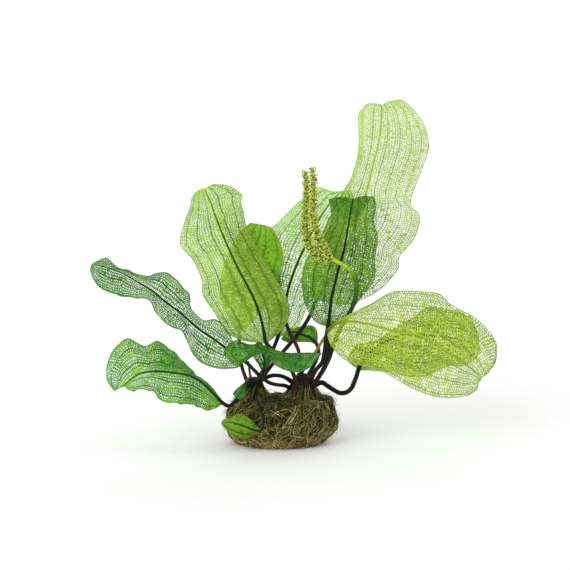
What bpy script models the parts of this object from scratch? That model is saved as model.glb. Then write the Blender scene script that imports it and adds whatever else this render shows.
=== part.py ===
"""Madagascar lace plant: two crowns on a wad of roots, fourteen leaves and a forked flower.

The origin is the middle of the root wad's flat underside. X runs to the right, Y away from the
side the plant is seen from, and Z up.
"""
import math

import bpy
from mathutils import Vector

MM = 0.001
GAP = 0.3  # mm between pieces that touch

# Root wad: height, left and right reach and half depth of each ring, in mm
ROOT_RINGS = (
    (0, -31, 29, 25),
    (4, -38, 36, 31),
    (11, -42, 41, 35),
    (19, -42, 44, 36),
    (27, -39, 44, 35),
    (32, -34, 43, 31),
    (35, -29, 40, 25),
)
ROOT_SIDES = 28
ROOT_LUMP = 0.035
ROOT_SMALL_LUMP = 0.6
ROOT_FLAT_FOOT = 8.0
ROOT_TOP = ROOT_RINGS[-1][0]

# Crowns: middle, then height above the root wad and radius of each ring, in mm
CROWN_SIDES = 12
CROWN_FLUTE = 0.07
LEFT_CROWN_AT = (-20.5, 0.0)
LEFT_CROWN_RINGS = ((0, 8.8), (6, 8.2), (11, 7.4), (15, 5.6), (18, 2.6))
RIGHT_CROWN_AT = (18.0, 0.0)
RIGHT_CROWN_RINGS = ((0, 14.0), (5, 12.2), (11, 10.0), (16, 8.2), (19, 5.4), (21, 2.4))

SHARP_ANGLE = 50

# Leaf stalks and blades, in mm
STALK_SIDES = 8
STALK_RING_SPACING = 6.5
STALK_FOOT_SWELL = 1.2
STALK_FOOT_LENGTH = 14.0
MIDRIB_TIP = 0.55
MIDRIB_SHARE = 0.22
BLADE_ROOT_WIDENING = 1.15
BLADE_THICKNESS = 0.9
MARGIN_THICKNESS = 0.55
BLADE_BOW = 0.09
BLADE_COLUMNS = (0.33, 0.68, 1.0)

# Flower, in mm
FLOWER_STALK_RADIUS = 1.85
FLOWER_STALK_SIDES = 10
FLOWER_STALK_TOP_RADIUS = 1.4
FLOWER_STALK_TAPER_START = 0.75
FORK_RADIUS = 1.9
FORK_END_RADIUS = 2.0
SPIKE_SIDES = 8
SPIKE_RING_SPACING = 2.6
SPIKE_FOOT_RADIUS = 2.1
SPIKE_RADIUS = 4.3
SPIKE_TIP_RADIUS = 1.9
SPIKE_END_RADIUS = 1.05
SPIKE_FOOT_GROWTH = 14.0
SPIKE_TAPER_START = 0.2
FLORET_RISE = 0.17

# Where the leaves run, in mm. "stalk" goes from inside its crown to the blade, and "base" is
# where the blade starts. Each of the "rows" crosses the blade: one margin, the midrib and the
# other margin, from the base to the tip.
LEAVES = {
    "tall_back_leaf": {
        "stalk": (
            (-17, 3, 47), (-11, 10, 55.5), (-2.5, 15, 65.5), (6.5, 18, 75.5), (15, 20, 85.5),
            (23.5, 22, 98.5),
        ),
        "base": (29.5, 22, 113),
        "rows": (
            ((25.5, 24, 126.5), (35.5, 23, 122), (52, 26, 108)),
            ((29, 31, 142.5), (44, 28, 135.5), (77.5, 33, 117)),
            ((34.5, 40, 161.5), (53, 33, 153), (94.5, 37, 134)),
            ((41, 44, 178.5), (59.5, 37, 168), (96, 33, 145.5)),
            ((45, 48, 187), (63, 40, 177), (107.5, 42, 158)),
            ((49.5, 51, 194), (66, 43, 186.5), (112.5, 47, 170.5)),
            ((53.5, 54, 200.5), (69, 46, 194.5), (112, 46, 179)),
            ((56.5, 57, 204.5), (71, 48, 201.5), (105.5, 46, 188.5)),
            ((61, 63, 216), (75, 53, 217), (114, 58, 211.5)),
            ((64, 69, 231), (79, 58, 232), (120.5, 66, 229)),
            ((64, 73, 245.5), (81.5, 63, 247), (118.5, 68, 245.5)),
            ((64, 74, 257.5), (82.5, 67, 259), (110, 66, 260)),
            ((70, 74, 265), (82.5, 70, 264), (99.5, 68, 269)),
            ((78, 72, 266), (83, 71, 265), (90, 70, 268)),
        ),
    },
    "folded_front_leaf": {
        "stalk": ((23, -3, 48), (28, -7, 59.5), (33.5, -10, 67), (35.5, -10, 77), (36.5, -10, 86.5)),
        "base": (38, -10, 96),
        "rows": (
            ((27.5, -10, 100), (39.5, -12, 108.5), (50, -6, 100.5)),
            ((20.5, -5, 111.5), (40.5, -13, 117.5), (58, -8, 110)),
            ((18.5, -3, 120.5), (42.5, -14, 127), (65.5, -8, 120.5)),
            ((17.5, -4, 133), (45.5, -15, 140), (74.5, -10, 133.5)),
            ((21.5, -8, 149.5), (49.5, -16, 153.5), (75, -10, 150.5)),
            ((32.5, -14, 164.5), (52, -17, 167), (77, -12, 167.5)),
            ((40, -20, 180), (54, -18, 180), (74, -12, 178.5)),
            ((40, -22, 189), (55.5, -19, 189.5), (75.5, -14, 192)),
            ((38.5, -16, 197), (57.5, -17, 198), (73, -13, 199)),
            ((42.5, -6, 190.5), (57, -7, 186.5), (67, -5, 189.5)),
            ((52.5, 1, 174.5), (55.5, 1, 173.5), (58.5, 1, 174.5)),
        ),
    },
    "centre_back_leaf": {
        "stalk": ((-19, -1, 49), (-14.5, 1, 56.5), (-9.5, 6, 65.5), (-5, 9, 75.5)),
        "base": (-1.5, 11, 84.5),
        "rows": (
            ((-8, 14, 99), (1, 12, 96), (14.5, 10, 93)),
            ((-11, 18, 113.5), (4, 13, 108.5), (21.5, 15, 107)),
            ((-13, 21, 130), (7, 15, 123.5), (28, 16, 117)),
            ((-13, 24, 149), (13, 17, 140.5), (37.5, 18, 131.5)),
            ((-9, 25, 166), (20, 19, 156), (46.5, 18, 148.5)),
            ((1, 28, 176.5), (28, 21, 172), (52.5, 21, 166.5)),
            ((13, 29, 188.5), (36, 23, 184.5), (56.5, 21, 181.5)),
            ((29, 31, 201.5), (43, 25, 193.5), (58.5, 24, 190)),
            ((40, 30, 199), (47, 26, 197), (57.5, 26, 197.5)),
            ((49, 28, 199), (51, 27, 199), (54.5, 27, 200)),
        ),
    },
    "broad_left_leaf": {
        "stalk": ((14, -6, 48), (9.5, -11, 60), (4, -10, 67), (-4, -9, 75)),
        "base": (-11, -9, 82.5),
        "rows": (
            ((-27, -4, 83), (-12.5, -11, 90.5), (0, -8, 91)),
            ((-42, -6, 90), (-15, -14, 102.5), (7, -9, 103)),
            ((-50.5, -12, 105.5), (-19, -18, 115.5), (6.5, -13, 116.5)),
            ((-60.5, -15, 121), (-25, -22, 129), (0, -16, 129.5)),
            ((-61.5, -21, 135), (-33, -26, 144.5), (-9.5, -20, 146)),
            ((-69, -21, 151.5), (-39.5, -30, 159.5), (-17, -24, 160)),
            ((-78, -25, 162.5), (-45, -33, 173), (-25.5, -29, 175.5)),
            ((-75.5, -31, 177.5), (-49.5, -36, 185), (-28, -31, 187.5)),
            ((-70, -31, 193), (-53.5, -38, 196.5), (-30, -35, 197.5)),
            ((-68.5, -34, 200.5), (-56, -39, 202.5), (-30, -33, 203.5)),
            ((-65.5, -36, 205), (-57.5, -39, 206), (-39, -36, 210)),
            ((-61, -38, 208), (-57.5, -39, 208.5), (-51, -38, 212)),
        ),
    },
    "upper_middle_leaf": {
        "stalk": ((-24, -2, 47), (-27.5, -2, 53.5), (-30.5, 0, 62.5), (-32, 1, 75)),
        "base": (-32.5, 1, 89.5),
        "rows": (
            ((-41.5, 5, 102), (-32, 2, 102.5), (-20.5, 5, 98.5)),
            ((-47, 5, 116.5), (-30, 1, 117.5), (-11, 2, 112)),
            ((-47, 3, 132.5), (-26.5, 0, 131.5), (-3, 5, 125)),
            ((-43, 4, 147), (-23, 1, 145.5), (1, 1, 140)),
            ((-36.5, 5, 160.5), (-19, 3, 157.5), (2.5, 8, 151)),
            ((-31, 9, 169.5), (-16, 6, 166.5), (-1, 6, 163.5)),
            ((-24, 10, 175.5), (-15, 9, 174.5), (-7, 11, 172)),
        ),
    },
    "hidden_middle_leaf": {
        "stalk": (
            (17, -1, 51), (16.5, 0, 64.5), (15, 0, 73.5), (12.5, 1, 80), (8.5, 2, 87), (5, 4, 95.5),
        ),
        "base": (1, 6, 104),
        "rows": (
            ((-10.5, 9, 109.5), (-1.5, 8, 112), (4, 8, 110)),
            ((-17.5, 12, 121), (-4, 9, 123), (1, 9, 123)),
            ((-24, 13, 134.5), (-9, 11, 137), (0, 12, 138.5)),
            ((-29.5, 14, 149), (-16, 13, 150.5), (-4, 14, 153.5)),
            ((-32, 17, 161.5), (-23, 15, 163), (-14.5, 17, 165.5)),
            ((-28.5, 18, 169), (-25.5, 17, 170), (-22.5, 18, 171)),
        ),
    },
    "front_right_leaf": {
        "stalk": ((25, -6, 46), (33.5, -12, 60.5), (37, -16, 70), (38.5, -18, 81.5)),
        "base": (38, -20, 93.5),
        "rows": (
            ((47.5, -19, 102.5), (45, -22, 99.5), (40, -25, 83.5)),
            ((61, -17, 109.5), (56, -24, 102), (49, -29, 73.5)),
            ((74, -16, 116), (70, -26, 100), (61, -34, 69.5)),
            ((87.5, -13, 123.5), (83.5, -28, 96.5), (77, -36, 65.5)),
            ((100, -16, 125), (96, -30, 93.5), (90, -39, 59)),
            ((113.5, -17, 124.5), (109, -32, 92.5), (103.5, -40, 51.5)),
            ((126, -21, 123), (120.5, -34, 87), (117.5, -44, 46.5)),
            ((134, -20, 115), (130, -36, 81), (130, -44, 44.5)),
            ((144.5, -25, 110), (138.5, -38, 75), (140, -46, 45.5)),
            ((158, -24, 101), (146.5, -39, 69), (147.5, -44, 46.5)),
            ((169, -30, 87.5), (152.5, -40, 64.5), (154, -42, 50.5)),
            ((169.5, -34, 73), (156.5, -40, 61), (155, -41, 55.5)),
            ((163, -38, 63), (158, -40, 60), (157, -40, 57.5)),
        ),
    },
    "rear_right_leaf": {
        "stalk": (
            (25, 4, 45), (33, 5, 48), (37.5, 6, 45.5), (42.5, 7, 42), (48, 8, 39), (53.5, 9, 39.5),
            (57.5, 10, 43), (60, 10, 49), (61.5, 10, 53),
        ),
        "base": (63, 10, 58),
        "rows": (
            ((54.5, 13, 65), (68, 12, 67), (73, 9, 57)),
            ((61.5, 16, 76.5), (77, 13, 75.5), (86.5, 10, 55.5)),
            ((77, 19, 79.5), (87.5, 15, 81), (98, 12, 52.5)),
            ((94, 22, 90.5), (98.5, 18, 85), (107.5, 14, 51)),
            ((108.5, 26, 98.5), (111, 21, 84.5), (118, 18, 51)),
            ((118.5, 28, 105.5), (124, 24, 82.5), (127, 20, 55)),
            ((133, 32, 103.5), (135.5, 27, 81), (137, 25, 58)),
            ((145, 33, 100), (146, 29, 78.5), (147.5, 27, 57.5)),
            ((154.5, 35, 93.5), (154, 31, 76.5), (156.5, 30, 62)),
            ((160, 33, 83.5), (160.5, 32, 75), (162, 31, 69.5)),
        ),
    },
    "long_left_leaf": {
        "stalk": (
            (10, -4, 44), (4, -12, 48.5), (-1, -20, 50.5), (-8, -22, 52.5), (-15, -23, 57.5),
            (-23.5, -22, 66),
        ),
        "base": (-31.5, -20, 73),
        "rows": (
            ((-31.5, -20, 65.5), (-37, -20, 77), (-37, -21, 86)),
            ((-39.5, -23, 64), (-44, -19, 81), (-44, -21, 98)),
            ((-52, -27, 65.5), (-53, -18, 87.5), (-51, -23, 103.5)),
            ((-64.5, -30, 72), (-63, -17, 94), (-60.5, -17, 102)),
            ((-71.5, -24, 82.5), (-73.5, -15, 102.5), (-70.5, -8, 110)),
            ((-78, -25, 95), (-77.5, -14, 106.5), (-71, -4, 115)),
            ((-88.5, -25, 99), (-83.5, -13, 110.5), (-73, 0, 121)),
            ((-98, -17, 108.5), (-92.5, -11, 117), (-82.5, 4, 131)),
            ((-104.5, -19, 119), (-102, -9, 124.5), (-93, 8, 137)),
            ((-115, -12, 118.5), (-113, -7, 131), (-104.5, 0, 134.5)),
            ((-127.5, -18, 122), (-125, -6, 138), (-117.5, 4, 137.5)),
            ((-139.5, -11, 125), (-135, -7, 142), (-128, -4, 142)),
            ((-147.5, -15, 134.5), (-143.5, -9, 144.5), (-137.5, -2, 149)),
            ((-149.5, -13, 142), (-148.5, -11, 145.5), (-145, -9, 147.5)),
        ),
    },
    "lower_left_leaf": {
        "stalk": (
            (10.5, 0, 49), (4, -8, 54.5), (-1, -14, 57), (-7, -15, 57), (-14, -17, 54.5),
            (-23.5, -21, 51), (-29, -26, 46.5), (-33, -29, 41.5), (-39.5, -32, 36),
        ),
        "base": (-45.5, -34, 39),
        "rows": (
            ((-52.5, -39, 34.5), (-51.5, -36, 45.5), (-50.5, -33, 47)),
            ((-58, -44, 34.5), (-57, -39, 52), (-55, -36, 53.5)),
            ((-64.5, -48, 38.5), (-63, -42, 57.5), (-62, -37, 59)),
            ((-72, -52, 41), (-70, -45, 62), (-69, -35, 64.5)),
            ((-80, -55, 42), (-78.5, -48, 64.5), (-77, -32, 73)),
            ((-91, -58, 44.5), (-88, -50, 66), (-86, -35, 81.5)),
            ((-99, -61, 52.5), (-95.5, -53, 67), (-95, -36, 88)),
            ((-107, -62, 54.5), (-103, -56, 67), (-106, -42, 85.5)),
            ((-113, -64, 53.5), (-109.5, -58, 65.5), (-119.5, -43, 91)),
            ((-117.5, -62, 54), (-114.5, -60, 62.5), (-130, -50, 82.5)),
            ((-119.5, -61, 56), (-119, -61, 59), (-135, -53, 68)),
            ((-122, -61, 56.5), (-122.5, -61, 56.5), (-133, -57, 58.5)),
            ((-125, -60, 55), (-126.5, -60, 54), (-128.5, -60, 53)),
        ),
    },
    "arching_front_leaf": {
        "stalk": ((-16, -4, 46), (-14, -12, 56.5)),
        "base": (-13, -16, 61),
        "rows": (
            ((-17, -20, 67), (-12, -21, 68.5), (-8, -21, 67.5)),
            ((-22.5, -27, 76), (-13.5, -28, 77.5), (-2.5, -27, 73.5)),
            ((-32.5, -38, 89), (-14, -37, 85.5), (14, -35, 78.5)),
            ((-42.5, -47, 84.5), (-17, -46, 88.5), (31.5, -45, 80)),
            ((-42, -51, 78), (-18.5, -52, 87.5), (29.5, -51, 77.5)),
            ((-32.5, -54, 72), (-15.5, -56, 87), (26.5, -55, 74)),
            ((-26, -57, 79), (-11.5, -59, 85), (23.5, -57, 71)),
            ((-17.5, -59, 83.5), (-6, -62, 82.5), (21, -60, 70)),
            ((-10, -61, 82.5), (0, -64, 77), (18, -62, 69)),
            ((-5.5, -63, 75.5), (5, -65, 72.5), (15, -64, 68.5)),
            ((3, -65, 70.5), (8, -66, 69.5), (11, -65, 68.5)),
        ),
    },
    "curled_back_leaf": {
        "stalk": ((20, 7, 49), (28.5, 13, 63.5), (31, 20, 70.5)),
        "base": (29.5, 24, 76),
        "rows": (
            ((25.5, 25, 77), (25, 27, 80), (30, 31, 84.5)),
            ((19.5, 25, 77.5), (18.5, 29, 82.5), (26.5, 35, 89)),
            ((13, 25, 77.5), (13, 30, 84.5), (19.5, 36, 89)),
            ((7, 25, 77), (7, 30, 84.5), (10, 34, 87)),
            ((1, 28, 79), (2.5, 29, 82.5), (3, 31, 84.5)),
        ),
    },
    "crown_leaflet": {
        "stalk": ((-22, -6, 46), (-24.5, -18, 55.5)),
        "base": (-26.5, -31, 54.5),
        "rows": (
            ((-31.5, -34, 52), (-29.5, -35, 50), (-27, -34, 48)),
            ((-35, -34, 49), (-32, -36, 46), (-28, -35, 43)),
            ((-37, -35, 46), (-35, -36, 43.5), (-31.5, -35, 41.5)),
        ),
    },
    "small_low_leaf": {
        "stalk": ((-19, -6, 41), (-17.5, -24, 39), (-14.5, -35, 32.5), (-13, -40, 24.5)),
        "base": (-15, -41, 18),
        "rows": (
            ((-20.5, -41, 15), (-21, -43, 19), (-18.5, -41, 21.5)),
            ((-28, -42, 11.5), (-27.5, -45, 22), (-23.5, -41, 27.5)),
            ((-34.5, -43, 14), (-33, -46, 24), (-31, -42, 31.5)),
            ((-40, -43, 17), (-38, -46, 25.5), (-38.5, -43, 29)),
            ((-45.5, -44, 23.5), (-45.5, -45, 25.5), (-44.5, -44, 27)),
        ),
    },
}

LEFT_CROWN_LEAVES = (
    "tall_back_leaf",
    "centre_back_leaf",
    "upper_middle_leaf",
    "arching_front_leaf",
    "crown_leaflet",
    "small_low_leaf",
)

# Colour (linear), roughness and stalk radius in mm of each leaf
LEAF_LOOKS = {
    "tall_back_leaf": ((0.42, 0.60, 0.13), 0.45, 1.6),
    "folded_front_leaf": ((0.06, 0.20, 0.03), 0.4, 1.7),
    "centre_back_leaf": ((0.30, 0.50, 0.06), 0.45, 1.6),
    "broad_left_leaf": ((0.28, 0.50, 0.05), 0.45, 1.6),
    "upper_middle_leaf": ((0.27, 0.48, 0.05), 0.45, 1.4),
    "hidden_middle_leaf": ((0.20, 0.38, 0.05), 0.45, 1.5),
    "front_right_leaf": ((0.36, 0.50, 0.05), 0.45, 1.6),
    "rear_right_leaf": ((0.30, 0.46, 0.05), 0.45, 1.9),
    "long_left_leaf": ((0.07, 0.26, 0.09), 0.4, 1.5),
    "lower_left_leaf": ((0.08, 0.33, 0.05), 0.4, 1.6),
    "arching_front_leaf": ((0.05, 0.23, 0.03), 0.4, 1.4),
    "curled_back_leaf": ((0.17, 0.42, 0.04), 0.4, 1.3),
    "crown_leaflet": ((0.10, 0.30, 0.04), 0.4, 0.9),
    "small_low_leaf": ((0.18, 0.46, 0.03), 0.4, 1.3),
}

# Routes of the other stalks, in mm, from the crown outwards
FLOWER_STALK_ROUTE = (
    (26, 0, 46), (34, -4, 59), (38, -7, 67.5), (41.5, -9, 77.5), (47.5, -12, 94), (54, -14, 105),
    (58.5, -15, 116), (60.5, -18, 127), (58, -23, 138), (52, -27, 145.5), (40.5, -30, 152.5),
)
LEFT_SPIKE_ROUTE = (
    (40, -27, 152), (33, -26, 152.5), (25.5, -26, 158), (21.5, -27, 167), (20, -27, 178),
    (20, -27, 189.5), (20.5, -27, 201.5), (20.5, -28, 211.5), (19.5, -29, 221),
)
RIGHT_SPIKE_ROUTE = (
    (40, -32, 153), (36.5, -35, 158.5), (31.5, -36, 166.5), (28, -36, 175.5), (26, -36, 185),
    (26, -36, 195.5), (26, -36, 205.5), (26, -37, 215), (25, -38, 224.5),
)
DRIED_STALK_ROUTE = ((15, 5, 50), (21.5, 5, 64.5), (28.5, 4, 73), (32.5, 1, 80.5), (36.5, -2, 87.5))
YOUNG_SPEAR_ROUTE = ((-23, 2, 48), (-23.5, 1, 53), (-24.5, 0, 60), (-25, -1, 66.5))
DRIED_STALK_RADIUS = 1.3
YOUNG_SPEAR_RADIUS = 1.0
YOUNG_SPEAR_TIP = 0.5

# Colours of the other pieces (linear)
ROOT_BROWN = (0.13, 0.10, 0.03)
CROWN_BROWN = (0.035, 0.018, 0.014)
FLOWER_STALK_GREEN = (0.20, 0.33, 0.05)
SPIKE_GREEN = (0.45, 0.48, 0.17)
DRIED_TAN = (0.36, 0.22, 0.07)
SPEAR_GREEN = (0.13, 0.14, 0.04)


def material(name, colour, roughness):
    """A Principled material of one colour, with no metal in it."""
    made = bpy.data.materials.new(name)
    made.use_nodes = True
    shader = made.node_tree.nodes["Principled BSDF"]
    shader.inputs["Base Color"].default_value = (*colour, 1.0)
    shader.inputs["Roughness"].default_value = roughness
    shader.inputs["Metallic"].default_value = 0.0
    made.diffuse_color = (*colour, 1.0)
    return made


def add_object(name, points, faces, surface):
    """An object from points in mm, with its faces turned outwards."""
    mesh = bpy.data.meshes.new(name)
    mesh.from_pydata([Vector(p) * MM for p in points], [], faces)
    mesh.validate()
    mesh.materials.append(surface)
    made = bpy.data.objects.new(name, mesh)
    bpy.context.scene.collection.objects.link(made)
    turn_outwards(mesh)
    mesh.shade_smooth()
    mesh.set_sharp_from_angle(angle=math.radians(SHARP_ANGLE))
    return made


def turn_outwards(mesh):
    """Flips every face if the closed mesh encloses a negative volume."""
    volume = 0.0
    for face in mesh.polygons:
        corners = [mesh.vertices[i].co for i in face.vertices]
        for second, third in zip(corners[1:], corners[2:]):
            volume += corners[0].dot(second.cross(third))
    if volume < 0:
        mesh.flip_normals()


def smooth_path(controls, spacing):
    """Points about `spacing` apart on a smooth curve through the control points."""
    controls = [Vector(p) for p in controls]
    ends = [controls[0] * 2 - controls[1], *controls, controls[-1] * 2 - controls[-2]]
    path = []
    for before, start, end, after in zip(ends, ends[1:], ends[2:], ends[3:]):
        count = max(1, round((end - start).length / spacing))
        for step in range(count):
            path.append(curve_point(before, start, end, after, step / count))
    path.append(controls[-1])
    return path


def curve_point(before, start, end, after, t):
    """A point between start and end of a curve that also heeds its neighbours."""
    return (
        start * 2
        + (end - before) * t
        + (before * 2 - start * 5 + end * 4 - after) * t**2
        + (start * 3 - before - end * 3 + after) * t**3
    ) * 0.5


def path_frames(path, last_side):
    """(direction, side, normal) at each point, with the sides turned as little as possible."""
    frames = []
    side = Vector(last_side)
    for i in reversed(range(len(path))):
        direction = path[min(i + 1, len(path) - 1)] - path[max(i - 1, 0)]
        direction.normalize()
        side = (side - direction * side.dot(direction)).normalized()
        frames.append((direction, side, side.cross(direction)))
    return frames[::-1]


def join_rings(rings):
    """Faces between rings of points, with both ends capped. Each ring is [(number, angle)]."""
    faces = [[number for number, _ in rings[0]][::-1]]
    for lower, upper in zip(rings, rings[1:]):
        if len(lower) == len(upper):
            faces += even_faces(lower, upper)
        else:
            faces += uneven_faces(lower, upper)
    faces.append([number for number, _ in rings[-1]])
    return faces


def even_faces(lower, upper):
    """Four-sided faces between two rings with the same number of points."""
    count = len(lower)
    return [
        [lower[i][0], lower[(i + 1) % count][0], upper[(i + 1) % count][0], upper[i][0]]
        for i in range(count)
    ]


def uneven_faces(lower, upper):
    """Triangles between two rings of different counts, stepping along by angle."""
    low = lower + [(lower[0][0], lower[0][1] + math.tau)]
    high = upper + [(upper[0][0], upper[0][1] + math.tau)]
    faces = []
    i = j = 0
    while i < len(lower) or j < len(upper):
        low_next = j == len(upper) or (i < len(lower) and low[i + 1][1] <= high[j + 1][1])
        if low_next:
            faces.append([low[i][0], low[i + 1][0], high[j][0]])
            i += 1
        else:
            faces.append([low[i][0], high[j + 1][0], high[j][0]])
            j += 1
    return faces


def add_tube(name, path, radii, sides, surface, last_side=(1, 0, 0)):
    """A round tube along the path, with a radius for each point of it."""
    points = []
    rings = []
    for at, (_, side, normal), radius in zip(path, path_frames(path, last_side), radii):
        rings.append(add_circle(points, at, side, normal, [radius] * sides))
    return add_object(name, points, join_rings(rings), surface)


def add_circle(points, middle, side, normal, radii):
    """Adds a ring with a radius for each of its points, and returns it."""
    ring = []
    for step, radius in enumerate(radii):
        angle = math.tau * step / len(radii)
        ring.append((len(points), angle))
        points.append(middle + side * math.cos(angle) * radius + normal * math.sin(angle) * radius)
    return ring


def blade_columns(half_width, rib):
    """Places across a blade, from -1 at one margin to 1 at the other, with a narrow midrib."""
    rib_edge = min(MIDRIB_SHARE, rib / max(half_width, rib))
    right = (rib_edge, *BLADE_COLUMNS)
    return [-u for u in reversed(right)] + [0.0] + list(right)


def across(row, normal, u):
    """The middle surface at u, bowed a little between the midrib and the margin."""
    first, middle, last = row
    margin = last if u > 0 else first
    reach = abs(u)
    bow = normal * (margin - middle).length * BLADE_BOW * 4 * reach * (1 - reach)
    return middle.lerp(margin, reach) + bow


def half_thickness(u, rib):
    """Half the blade's thickness at u: a round midrib, and thinner to the margins."""
    if u == 0:
        return rib
    reach = abs(u)
    return (BLADE_THICKNESS * (1 - reach) + MARGIN_THICKNESS * reach) / 2


def add_leaf(name, leaf):
    """One leaf: a round stalk that flattens into the blade."""
    colour, roughness, radius = LEAF_LOOKS[name]
    base = Vector(leaf["base"])
    rows = [tuple(Vector(p) for p in row) for row in leaf["rows"]]
    path = smooth_path([*leaf["stalk"], base, rows[0][1]], STALK_RING_SPACING)
    path = path[: path.index(base) + 1]
    blade_side = rows[0][2] - rows[0][0]
    frames = path_frames([*path, rows[0][1]], blade_side)
    points = []
    rings = []
    walked = 0.0
    for i, at in enumerate(path[:-1]):
        walked += (at - path[i - 1]).length if i else 0.0
        swell = STALK_FOOT_SWELL ** max(0.0, 1 - walked / STALK_FOOT_LENGTH)
        side, normal = frames[i][1:]
        rings.append(add_circle(points, at, side, normal, [radius * swell] * STALK_SIDES))
    side, normal = frames[len(path) - 1][1:]
    rings.append(add_blade_root(points, base, side, normal, radius))
    for i, row in enumerate(rows):
        before = rows[i - 1][1] if i else base
        after = rows[min(i + 1, len(rows) - 1)][1]
        rib = radius + (MIDRIB_TIP - radius) * (i + 1) / len(rows)
        rings.append(add_blade_row(points, row, after - before, rib))
    return add_object(name, points, join_rings(rings), material(name, colour, roughness))


def add_blade_root(points, base, side, normal, radius):
    """The ring where the stalk turns into the blade, still nearly round."""
    count = 2 * len(blade_columns(1, 0))
    wide = side * radius * BLADE_ROOT_WIDENING
    high = normal * radius
    ring = []
    for step in range(count):
        angle = math.tau * (step + 0.5) / count
        ring.append((len(points), angle))
        points.append(base + wide * math.cos(angle) + high * math.sin(angle))
    return ring


def add_blade_row(points, row, direction, rib):
    """A flat ring across the blade: along its upper side and back along the lower one."""
    width = row[2] - row[0]
    normal = width.cross(direction).normalized()
    columns = blade_columns(width.length / 2, rib)
    middle = [across(row, normal, u) for u in columns]
    upper = []
    lower = []
    for i, u in enumerate(columns):
        along = middle[min(i + 1, len(middle) - 1)] - middle[max(i - 1, 0)]
        out = along.cross(direction).normalized() * half_thickness(u, rib)
        upper.append(middle[i] + out)
        lower.append(middle[i] - out)
    ring = []
    for step, point in enumerate([*reversed(upper), *lower]):
        ring.append((len(points), math.tau * (step + 0.5) / (2 * len(columns))))
        points.append(point)
    return ring


def add_root_wad():
    """The wad of roots, wider at mid height, lumpy, and flat below and above."""
    points = []
    rings = []
    for height, left, right, depth in ROOT_RINGS:
        middle = (left + right) / 2
        reach = (right - left) / 2
        ring = []
        for step in range(ROOT_SIDES):
            angle = math.tau * step / ROOT_SIDES
            lump = math.sin(3 * angle + height / 6)
            lump += ROOT_SMALL_LUMP * math.sin(7 * angle - height / 4)
            swell = 1 + ROOT_LUMP * lump * min(1, height / ROOT_FLAT_FOOT)
            x = middle + reach * swell * math.cos(angle)
            y = depth * swell * math.sin(angle)
            ring.append((len(points), angle))
            points.append((x, y, height))
        rings.append(ring)
    surface = material("root_mat", ROOT_BROWN, 0.9)
    return add_object("root_mat", points, join_rings(rings), surface)


def crown_shell(name, at, shape, grow, surface):
    """A fluted knob on top of the root wad. Growing it makes the cutter for the stalks' feet."""
    points = []
    rings = []
    for height, radius in shape:
        lift = grow if height else -grow
        middle = Vector((*at, ROOT_TOP + GAP + height + lift))
        flutes = [
            radius * (1 + CROWN_FLUTE * (-1) ** step) + grow for step in range(CROWN_SIDES)
        ]
        rings.append(add_circle(points, middle, Vector((1, 0, 0)), Vector((0, 1, 0)), flutes))
    return add_object(name, points, join_rings(rings), surface)


def hide_cutter(cutter):
    """Marks an object as one that only cuts others."""
    cutter.hide_render = True
    cutter.display_type = "WIRE"
    return cutter


def seat_on(piece, cutter):
    """Cuts the foot of a piece to the shape it stands on, a gap away from it."""
    cut = piece.modifiers.new("seat", "BOOLEAN")
    cut.operation = "DIFFERENCE"
    cut.solver = "EXACT"
    cut.object = cutter


def add_flower_stalk(surface):
    """The flower stalk, which swells where the two spikes fork from it."""
    path = smooth_path(FLOWER_STALK_ROUTE, STALK_RING_SPACING)
    radii = []
    for i in range(len(path) - 2):
        share = i / (len(path) - 3)
        taper = max(0, share - FLOWER_STALK_TAPER_START) / (1 - FLOWER_STALK_TAPER_START)
        drop = FLOWER_STALK_TOP_RADIUS - FLOWER_STALK_RADIUS
        radii.append(FLOWER_STALK_RADIUS + drop * taper)
    radii += [FORK_RADIUS, FORK_END_RADIUS]
    return add_tube("flower_stalk", path, radii, FLOWER_STALK_SIDES, surface)


def add_spike(name, route, surface):
    """A flower spike: rows of florets that stand out in turn around a thin stem."""
    path = smooth_path(route, SPIKE_RING_SPACING)
    points = []
    rings = []
    last = len(path) - 1
    for i, (at, (_, side, normal)) in enumerate(zip(path, path_frames(path, (1, 0, 0)))):
        share = i / last
        taper = max(0, share - SPIKE_TAPER_START) / (1 - SPIKE_TAPER_START)
        radius = SPIKE_RADIUS + (SPIKE_TIP_RADIUS - SPIKE_RADIUS) * taper
        radius = min(radius, SPIKE_FOOT_RADIUS + SPIKE_FOOT_GROWTH * share)
        radius = SPIKE_END_RADIUS if i == last else radius
        rise = FLORET_RISE if 0 < i < last else 0
        radii = [radius * (1 + rise * (-1) ** (i + step)) for step in range(SPIKE_SIDES)]
        rings.append(add_circle(points, at, side, normal, radii))
    return add_object(name, points, join_rings(rings), surface)


def fork_cutter():
    """The flower stalk's swollen end, grown by the gap, for cutting the spikes' feet."""
    path = smooth_path(FLOWER_STALK_ROUTE[-3:], STALK_RING_SPACING)
    radii = [FLOWER_STALK_TOP_RADIUS] * (len(path) - 2) + [FORK_RADIUS, FORK_END_RADIUS]
    radii = [radius + GAP for radius in radii]
    path[-1] += (path[-1] - path[-2]).normalized() * GAP
    return hide_cutter(add_tube("fork_cutter", path, radii, FLOWER_STALK_SIDES, None))


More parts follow.
